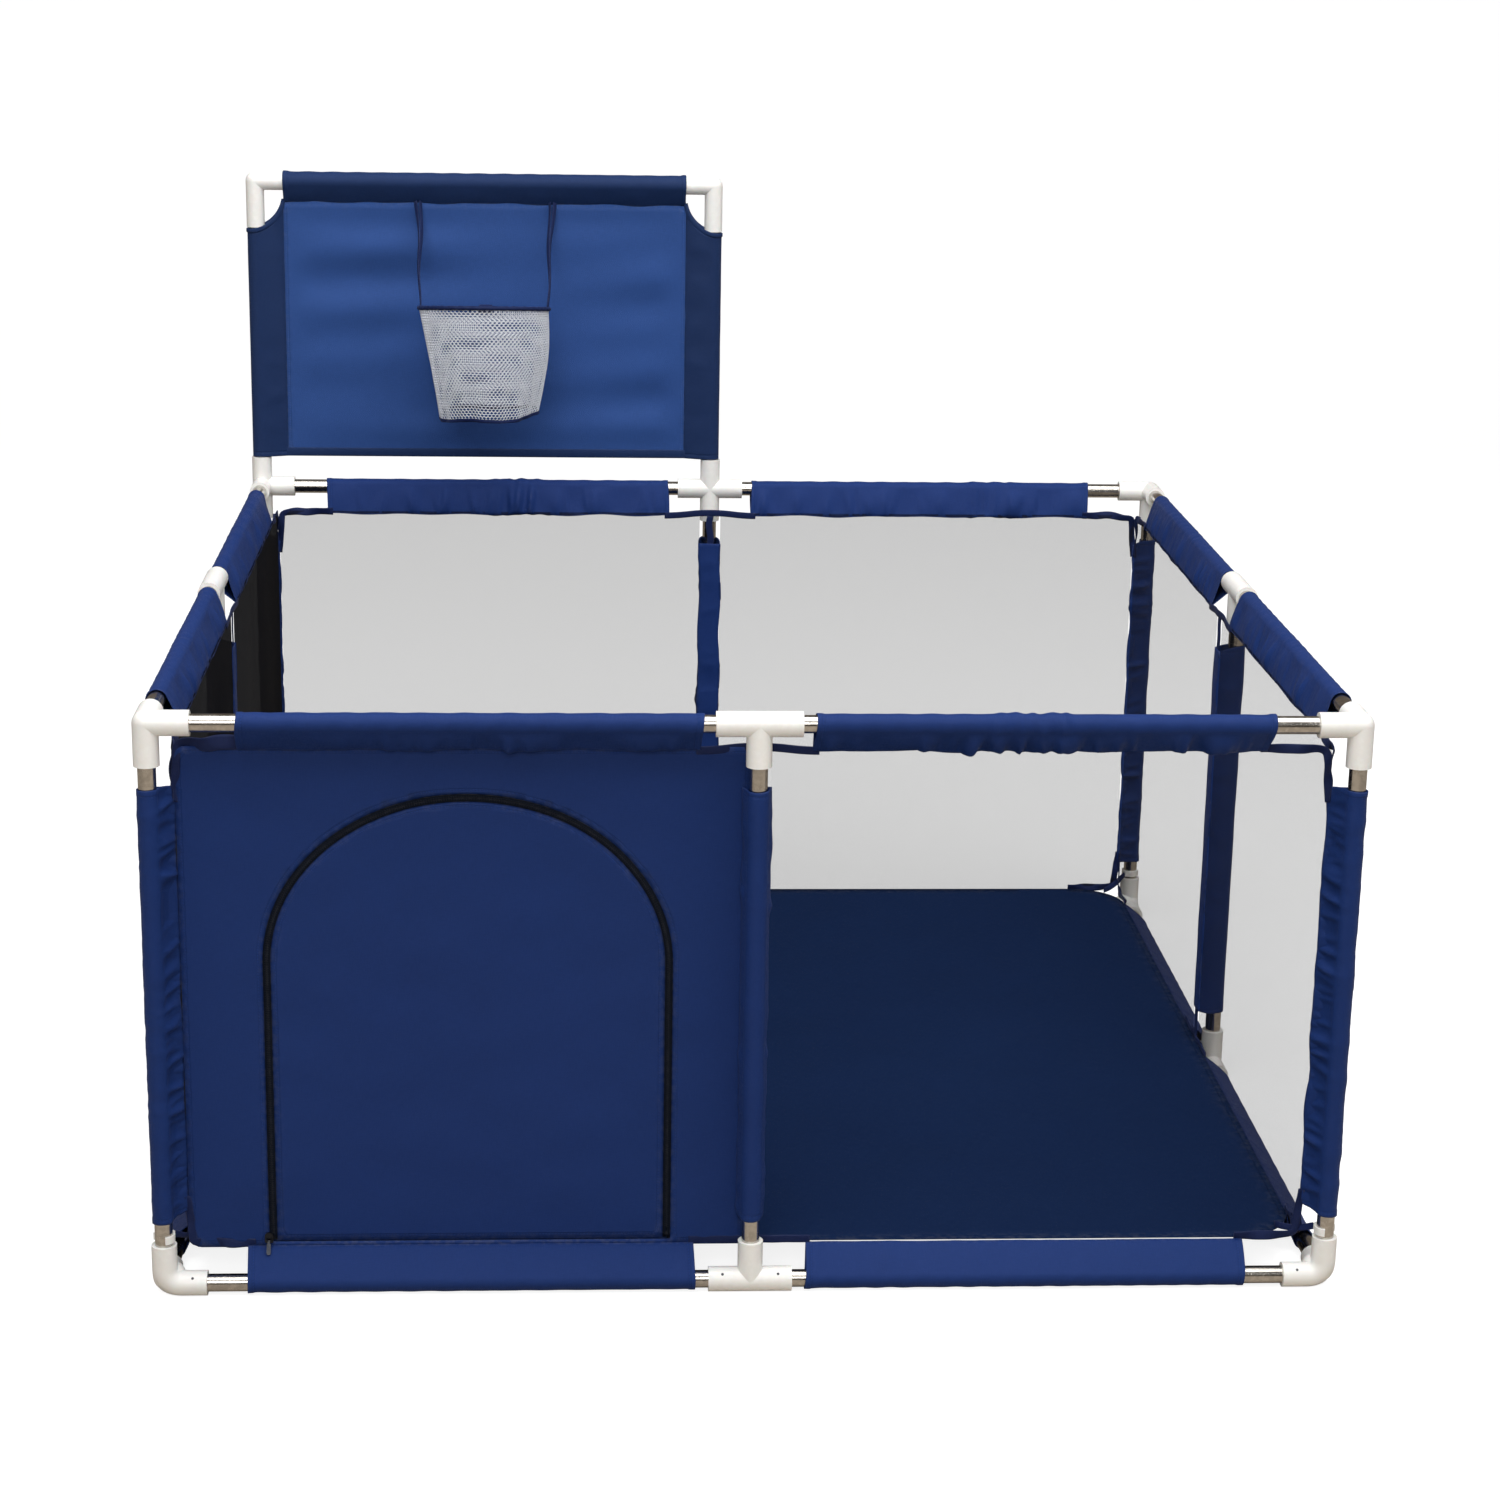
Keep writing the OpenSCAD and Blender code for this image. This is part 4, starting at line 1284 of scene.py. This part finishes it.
def board_top_sleeve(mesher, trim):
    """The sleeve round the board's top tube, with a bound end on each side."""
    end = BOARD_HALF - TOP_CLEAR
    along, inward, up, edge = rail_sleeve(
        np.random.default_rng(74), -end, end, BOARD_SLEEVE_R - 0.0012, (0.0, -TOP_TAIL),
        (0.5, 0.1, 0.0003), 0.0006, 0.0007)
    mesher.grid(board_place(-along, inward, Z_BOARD + up), edge=edge)
    points = drop_section(BOARD_SLEEVE_R - 0.0008, (0.0, -TOP_TAIL))[0]
    for side in (-1, 1):
        ring = board_place(side * (end - 0.002), points[:, 0], Z_BOARD + points[:, 1])
        trim.tape(ring, (1.0, 0, 0), BOUND_END, TRIM)


def board_side_sleeve(mesher, trim, side):
    """The sleeve round one board post, cut away at its top in a quarter circle."""
    rng = np.random.default_rng(75 + side)
    points, outward, leg, _ = drop_section(BOARD_SIDE_R, (SIDE_TAIL, 0.0), 25, 15)
    offset = np.maximum(points[:, 0] + CUT_OUT, 0)
    ceiling = CUT_Z - np.sqrt(np.maximum(CUT_R ** 2 - offset ** 2, 0.0))
    v = spaced(0, 1, 0.016, dense=0.02, fine=0.005)[:, None]
    z = BOARD_LOW + (ceiling - BOARD_LOW) * v
    t = np.linspace(-0.5, 0.5, len(points))[None, :] * 0.1
    out = 0.0008 * leg + 0.0005 * waves(rng, z, t, 4, 0.04, 0.12) * (leg + 0.2)
    creases_at = rng.uniform(BOARD_LOW, 1.0, 9)
    out = out + 0.0006 * ridges(rng, z, t, creases_at, (0.004, 0.01), (-0.5, 0.5)) * leg
    x = side * (BOARD_HALF - (points[:, 0] + out * outward[:, 0]))
    edge = np.minimum(z - BOARD_LOW, ceiling - z)
    mesher.grid(board_place(x, side * (points[:, 1] + out * outward[:, 1]), z), edge=edge)
    skin = points + 0.0007 * outward
    ring = board_place(side * (BOARD_HALF - skin[:, 0]), side * skin[:, 1], ceiling - 0.0025)
    trim.tape(ring, UP, BOUND_END, TRIM)


def build_board():
    """The board's cloth: one sheet, a top sleeve, two side sleeves, bound cut-outs and a hem."""
    inner = BOARD_HALF - SIDE_TAIL + 0.003
    top = Z_BOARD - TOP_TAIL + 0.004
    cut_x = BOARD_HALF + CUT_OUT
    start_z = CUT_Z - math.sqrt(CUT_R ** 2 - (cut_x - inner) ** 2)
    outline = [(-inner, BOARD_LOW), (inner, BOARD_LOW), (inner, start_z), (inner - 0.003, top),
               (-inner + 0.003, top), (-inner, start_z)]
    made = cut_sheet("board_sheet", outline, [], 0.009,
                     lambda x, z, edge: board_place(x, board_wave(x, z, edge), z))
    finish_piece(thicken(made, cloth().thickness, 0.0), "board_cloth", "board_cloth",
                 "board", "board_cover")
    mesher, trim = Mesher(), Mesher()
    board_top_sleeve(mesher, trim)
    for side in (-1, 1):
        board_side_sleeve(mesher, trim, side)
    sleeves = thicken(mesher.build("board_sleeves"), cloth().thickness)
    # The board's sleeves take the darker copy of the board cloth, which paints their shade.
    finish_piece(sleeves, "board_painted_shade", "board_cloth", "board")
    t = np.radians(np.linspace(-10, -70, 18))
    for side in (-1, 1):
        arch = board_place(side * (cut_x - CUT_R * np.cos(t)), 0.0, CUT_Z + CUT_R * np.sin(t))
        across = side_vector(2, side * np.cos(t), 0.0, np.sin(t))
        trim.tape(arch, across, 0.0058, 0.0034)
    x = spaced(-inner - 0.004, inner + 0.004, 0.006)
    trim.tape(board_place(x, 0.0, BOARD_LOW + 0.0062), UP, 0.0122, 0.0023)
    # The bound ends, cut-out bindings and hem take the same darker copy of the board cloth, with
    # its painted shade.
    finish_piece(trim.build("board_binding"), "board_painted_shade", "board_cloth", "board")


# ---- Hoop ----

# The net's cells, in steps of their pitch: the rows' distance, and the cell's and hole's size.
ROW_STEP = 0.62
ROW_SHIFT = 0.866
CELL_R = 0.5774
HOLE_R = 0.46


def hoop_point(x, y, z):
    """A point given in the hoop's own tilted plane, in the yard's frame."""
    c, s = math.cos(-HOOP_TILT), math.sin(-HOOP_TILT)
    return np.stack(np.broadcast_arrays(
        HOOP[0] + x, HOOP[1] + y * c - z * s, HOOP[2] + y * s + z * c), axis=-1)


def build_rim():
    """The hoop's cloth cover, gathered a little round the wire."""
    turn = np.linspace(0, TAU, 181)[:-1][:, None]
    around = np.linspace(0, TAU, 15)[:-1][None, :]
    gathers = 0.07 * np.sin(37 * turn + 2 * around) + 0.06 * np.sin(61 * turn - around)
    thick = RIM_R * (0.84 + gathers)
    ring = HOOP_RING_R + thick * np.cos(around)
    points = hoop_point(ring * np.cos(turn), ring * np.sin(turn), thick * np.sin(around))
    closed = np.concatenate([points, points[:1]])
    made = Mesher().grid(closed, wrap=True).build("rim_cover")
    finish_piece(made, "navy_tape", "navy_webbing", "hoop", "hoop_rim")


def net_surface(turn, down):
    """The hoop net's limp shape: turn is the angle round it, down goes from 0 at the rim to 1."""
    ring = HOOP_RING_R - 0.0008
    top = hoop_point(ring * np.cos(turn), ring * np.sin(turn), -0.0022 + 0 * turn)
    radius = NET_FOOT_R * (1 + 0.030 * np.sin(3 * turn + 0.6) + 0.020 * np.sin(5 * turn + 2.0))
    foot_z = NET_LOW + 0.004 + 0.0035 * np.cos(turn) + 0.0025 * np.sin(3 * turn + 1.0)
    foot = np.stack([HOOP[0] + 0.004 + radius * np.cos(turn), HOOP[1] + radius * np.sin(turn),
                     foot_z + 0 * turn], axis=-1)
    share = down[..., None]
    belly = 0.006 * np.sin(math.pi * down) * np.clip(np.cos(turn - 0.3), 0, 1)
    folds = 0.0014 * np.sin(9 * turn + 3 * down) * down
    folds = folds + 0.0009 * np.sin(17 * turn - 2 * down) * down
    out = np.stack([np.cos(turn), np.sin(turn), 0 * turn], axis=-1) * (belly + folds)[..., None]
    return top * (1 - share) + foot * share + out


def net_lattice(rows, around):
    """Six-sided cells with a hole in each, in steps: points, faces and the points to keep."""
    turns = np.radians(60 * np.arange(6) + 30)
    corner = np.stack([np.cos(turns), np.sin(turns) / ROW_SHIFT], axis=1)
    cell = np.concatenate([CELL_R * corner, HOLE_R * corner])
    row, column = np.meshgrid(np.arange(rows), np.arange(around), indexing="ij")
    middles = np.stack([column + 0.5 * (row % 2), row], axis=-1).reshape(-1, 1, 2)
    points = (middles + cell).reshape(-1, 2)
    i = np.arange(6)
    j = (i + 1) % 6
    quads = np.stack([i, j, 6 + j, 6 + i], axis=1)
    faces = (12 * np.arange(rows * around)[:, None, None] + quads).reshape(-1, 4)
    keys = np.round(points * 60).astype(int)
    keys[:, 0] %= around * 60
    merged, where = np.unique(keys, axis=0, return_inverse=True)
    where = where.reshape(-1)
    keep = np.zeros(len(merged), int)
    keep[where] = np.arange(len(points))
    faces = [tuple(dict.fromkeys(where[face])) for face in faces]
    return points, [face for face in faces if len(face) > 2], keep


def build_net():
    """The knitted net: a lattice with a small hole in every cell, and a navy hem at its foot.

    Its rows are closer together than its cells, so that the cords cross as diamonds.
    """
    pitch = cloth().knit_pitch
    around = int(round(TAU * (HOOP_RING_R + NET_FOOT_R) / 2 / pitch / 2)) * 2
    length = HOOP[2] - NET_LOW
    rows = int(round(length / (pitch * ROW_STEP))) - 1
    points, faces, keep = net_lattice(rows, around)
    down = np.clip((points[:, 1] + 0.7) / (rows + 0.4), 0, 1)
    turn = points[:, 0] / around * TAU
    coords = np.stack([turn * 0.075, down * length, 0 * down + 1], axis=1)
    net = make_mesh("hoop_net", net_surface(turn, down)[keep], faces, coords[keep])
    thicken(net, NET_CORD, 0.0)
    finish_piece(net, "hoop_knit", "net_knit", "hoop", "ball_net")
    turn = np.linspace(0, TAU, 145)
    path = net_surface(turn, 0 * turn + 1.0)
    path[:, 2] -= 0.0015
    across = np.stack([0.3 * np.sin(7 * turn), 0.3 * np.cos(5 * turn), 1 + 0 * turn], axis=1)
    hem = Mesher().tape(path, across, 0.0052, HEM, caps=False).build("hoop_net_hem")
    finish_piece(hem, "navy_tape", "navy_webbing", "hoop")
    normal = tuple(hoop_point(0, 0, 1) - hoop_point(0, 0, 0))
    for made in (net, hem):
        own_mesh(made)


def build_straps():
    """Two folded straps from the board's top seam down to the sides of the hoop."""
    mesher = Mesher()
    top_z = box("hoop_straps")[1][2]
    top_y = HALF - 0.0035
    for side in (-1, 1):
        for spread, lean in ((0.0035, 0.6), (-0.0035, -0.6)):
            steps = np.linspace(0, 1, 40)
            foot = hoop_point(side * (HOOP_RING_R - 0.001), 0.0, RIM_R * 0.5)
            top = np.array([foot[0] + side * 0.004, top_y, top_z])
            path = top[None] * (1 - steps[:, None]) + foot[None] * steps[:, None]
            path[:, 0] += spread * (1 - steps) ** 1.5 + 0.0012 * np.sin(steps * 9 + side)
            path[:, 1] += 0.0030 * np.sin(math.pi * steps)
            turned = lean * (0.25 + 0.75 * (1 - steps)) + 0.2 * np.sin(steps * 7 + side)
            across = np.stack([turned, 1 + 0 * steps, 0 * steps], axis=1)
            mesher.tape(path, across, 0.0068, STRAP)
    made = mesher.build("hoop_strap_webbing")
    finish_piece(made, "navy_tape", "navy_webbing", "board", "hoop_straps")
    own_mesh(made)
    back = hoop_point(0.0, HOOP_RING_R, 0.0)
    t = np.linspace(-0.2, TAU * 0.72, 34)
    r = RIM_R + 0.0016
    path = np.stack([0 * t + back[0], back[1] + r * np.cos(t), back[2] + r * np.sin(t)], axis=1)
    loop = Mesher().tape(path, (1.0, 0, 0), 0.018, 0.0011)
    finish_piece(loop.build("hoop_loop"), "navy_tape", "board_cloth", "board")


# ---- Carried-over hard parts ----

# The finish for each slot that keeps its frame meshes.
HARD_PARTS = {
    "tube_steel": "tube_steel", "white_plastic": "moulded_plastic", "dark_steel": "dark_steel",
    "zip_metal": "zip_metal", "wire_steel": "wire_steel",
}


def dress_frame():
    """Gives every tube, connector, clip and zip part its finish."""
    slots = {part["node"]: part["material_slot"] for part in frame["record"]["subparts"]}
    for name, node in frame["nodes"].items():
        if node.hide_render or slots.get(name) not in HARD_PARTS:
            continue
        node.data.materials.clear()
        node.data.materials.append(material(HARD_PARTS[slots[name]]))


# ---- Studio ----


def make_camera():
    """The camera, first of all that is made."""
    studio = bpy.context.scene.yard_studio
    data = bpy.data.cameras.new("camera")
    data.sensor_width = 36.0
    data.lens = studio.lens
    data.clip_end = 200
    made = add_object("camera", data)
    made.matrix_world = (
        Matrix.Translation(studio.place) @ Matrix.Rotation(-studio.heading, 4, "Z")
        @ Matrix.Rotation(math.pi / 2 - studio.pitch, 4, "X")
        @ Matrix.Rotation(studio.roll, 4, "Z"))
    bpy.context.scene.camera = made


def soft_light(name, place, target, size, power):
    """A soft box that faces its target."""
    data = bpy.data.lights.new(name, "AREA")
    data.shape = "RECTANGLE"
    data.size, data.size_y = size
    data.energy = power
    made = add_object(name, data)
    made.location = place
    made.rotation_euler = (Vector(target) - Vector(place)).to_track_quat("-Z", "Y").to_euler()


# Each light's name, place, target, size in metres and power in watts.
LIGHTS = (
    ("overhead", (0.1, -0.9, 3.6), (0, 0.1, 0.3), (4.0, 3.2), 175),
    ("front", (-0.8, -5.4, 3.0), (0, 0, 0.4), (3.0, 2.0), 100),
    ("right", (4.2, -2.4, 2.4), (0, 0, 0.4), (2.2, 2.2), 24),
)

# Each card's name, first corner, its sides across and up, and its colour.
CARDS = (
    ("card_dark_left", (-5.5, -4.6, -0.1), (1.6, -1.2, 0), (0, 0, 2.4), (0.03, 0.028, 0.026)),
    ("card_dark_right", (4.2, -6.0, -0.1), (1.4, 1.2, 0), (0, 0, 2.4), (0.03, 0.028, 0.026)),
    ("card_dark_low", (-3.5, -7.2, 0.0), (7.0, 0, 0), (0, 0, 0.9), (0.05, 0.045, 0.04)),
    ("card_tan", (-3.5, -7.3, 1.0), (7.0, 0, 0), (0, 0, 0.8), (0.34, 0.27, 0.19)),
)


def build_card(name, corner, across, up, colour):
    """A studio card, out of view, that the steel tubes mirror."""
    u, v = np.meshgrid(np.linspace(0, 1, 5), np.linspace(0, 1, 5), indexing="ij")
    points = np.array(corner) + u[..., None] * np.array(across) + v[..., None] * np.array(up)
    made = Mesher().grid(points).build(name)
    finish, tree, shader = new_material(name, Roughness=0.9)
    toned = place_group(
        tree, tone_group(), colour=rgba(colour), place=place_of(tree), strength=0.1)
    tree.links.new(toned["Colour"], shader.inputs["Base Color"])
    made.data.materials.append(finish)
    made.visible_camera = False
    made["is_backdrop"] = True


# The stage's floor, its bend up into the backdrop and its reach.
STAGE_FRONT, STAGE_BEND, STAGE_R, STAGE_TOP, STAGE_HALF = -9.0, 4.5, 2.5, 9.0, 14.0
BLACK, WHITE = (0.0, 0.0, 0.0, 1.0), (1.0, 1.0, 1.0, 1.0)


def build_stage():
    """A pale floor that curves up into a backdrop, soft lights and a pale surround.

    The camera sees floor and surround as white. They light the yard as something darker, so
    that its own cloths keep their contrast.
    """
    studio = bpy.context.scene.yard_studio
    bend = [(STAGE_BEND + STAGE_R * math.sin(a), STAGE_R - STAGE_R * math.cos(a))
            for a in np.linspace(0.1, math.pi / 2, 14)]
    profile = [(STAGE_FRONT, 0.0), (STAGE_BEND, 0.0), *bend, (STAGE_BEND + STAGE_R, STAGE_TOP)]
    points = np.array([[(x, y, z) for x in (-STAGE_HALF, STAGE_HALF)] for y, z in profile])
    points[..., 2] -= 0.0002
    made = Mesher().grid(points).build("studio_floor")
    backdrop, tree, shader = new_material("backdrop", Roughness=0.9, Specular_IOR_Level=0.0,
                                          Emission_Strength=studio.glow)
    toned = place_group(tree, tone_group(), colour=rgba(studio.backdrop), place=place_of(tree),
                        strength=0.02)
    seen = tree.nodes.new("ShaderNodeLightPath").outputs["Is Camera Ray"]
    shown = blend_colours(tree, seen, BLACK, WHITE)
    plain = blend_colours(tree, seen, toned["Colour"], (0.40, 0.40, 0.40, 1.0))
    tree.links.new(plain, shader.inputs["Base Color"])
    tree.links.new(shown, shader.inputs["Emission Color"])
    made.data.materials.append(backdrop)
    made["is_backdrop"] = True
    for card in CARDS:
        build_card(*card)
    for light in LIGHTS:
        soft_light(*light)
    world = bpy.data.worlds.new("surround")
    bpy.context.scene.world = world
    world.use_nodes = True
    tree = world.node_tree
    tree.nodes.clear()
    seen = tree.nodes.new("ShaderNodeLightPath").outputs["Is Camera Ray"]
    light = blend_colours(tree, seen, (0.22, 0.22, 0.22, 1.0), WHITE)
    sky = put(tree, "ShaderNodeBackground", {"Color": light, "Strength": 1.0})
    put(tree, "ShaderNodeOutputWorld", {"Surface": sky.outputs[0]})
    bpy.context.scene.view_settings.view_transform = "Standard"


# ---- Operators ----


class BuildStep:
    """One step of the making. Its subclasses name the functions that they call."""

    bl_options = {"REGISTER", "UNDO"}
    makers = ()

    def execute(self, context):
        for maker in self.makers:
            maker()
        return {"FINISHED"}


class YARD_OT_camera(BuildStep, bpy.types.Operator):
    """Place the camera"""

    bl_idname = "yard.camera"
    bl_label = "Camera"
    makers = (make_camera,)


class YARD_OT_stage(BuildStep, bpy.types.Operator):
    """Lay the studio floor and set the lights"""

    bl_idname = "yard.stage"
    bl_label = "Stage and lights"
    makers = (build_stage,)


class YARD_OT_hard_parts(BuildStep, bpy.types.Operator):
    """Finish the tubes, connectors, clips, hoop wire and zip slider"""

    bl_idname = "yard.hard_parts"
    bl_label = "Tubes and connectors"
    makers = (dress_frame,)


class YARD_OT_sleeves(BuildStep, bpy.types.Operator):
    """Sew the sleeves on the rails and posts"""

    bl_idname = "yard.sleeves"
    bl_label = "Sleeves"
    makers = (build_top_sleeves, build_bottom_sleeves, build_corner_sleeves, build_mid_sleeves)


class YARD_OT_walls(BuildStep, bpy.types.Operator):
    """Hang the netting walls and bind their corners"""

    bl_idname = "yard.walls"
    bl_label = "Walls and binding"
    makers = (build_walls, build_bindings)


class YARD_OT_door(BuildStep, bpy.types.Operator):
    """Cut the front panel and make its zip and door"""

    bl_idname = "yard.door"
    bl_label = "Panel, zip and door"
    makers = (build_panel, build_zip, build_flap)


class YARD_OT_floor(BuildStep, bpy.types.Operator):
    """Lay the cloth floor and tie its corners"""

    bl_idname = "yard.floor"
    bl_label = "Floor and ties"
    makers = (build_floor, build_ties)


class YARD_OT_board(BuildStep, bpy.types.Operator):
    """Sew the board's cloth"""

    bl_idname = "yard.board"
    bl_label = "Board"
    makers = (build_board,)


class YARD_OT_hoop(BuildStep, bpy.types.Operator):
    """Make the hoop's cover, net, loop and straps"""

    bl_idname = "yard.hoop"
    bl_label = "Hoop and net"
    makers = (build_rim, build_net, build_straps)


STEPS = (
    YARD_OT_camera, YARD_OT_hard_parts, YARD_OT_sleeves, YARD_OT_walls, YARD_OT_door,
    YARD_OT_floor, YARD_OT_board, YARD_OT_hoop, YARD_OT_stage,
)
SETTINGS = {"yard_colours": YardColours, "yard_cloth": YardCloth, "yard_studio": YardStudio}


class YARD_PT_panel(bpy.types.Panel):
    """Lists the steps in the order that they are taken"""

    bl_idname = "YARD_PT_panel"
    bl_label = "Play Yard"
    bl_space_type = "VIEW_3D"
    bl_region_type = "UI"
    bl_category = "Play Yard"

    def draw(self, context):
        for step in STEPS:
            self.layout.operator(step.bl_idname)
        for name, group_class in SETTINGS.items():
            held = getattr(context.scene, name)
            for key in group_class.__annotations__:
                self.layout.prop(held, key)


def register():
    for made in (*SETTINGS.values(), *STEPS, YARD_PT_panel):
        bpy.utils.register_class(made)
    for name, group_class in SETTINGS.items():
        setattr(bpy.types.Scene, name, bpy.props.PointerProperty(type=group_class))


def unregister():
    for name in SETTINGS:
        delattr(bpy.types.Scene, name)
    for made in (YARD_PT_panel, *reversed(STEPS), *SETTINGS.values()):
        bpy.utils.unregister_class(made)


def corners(bounds):
    return [list(map(float, corner)) for corner in bounds]


def main():
    register()
    for step in STEPS:
        area, name = step.bl_idname.split(".")
        getattr(getattr(bpy.ops, area), name)()
    {"cad": corners(CAD_BOX), "visual": corners(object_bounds())}


if __name__ == "__main__":
    main()
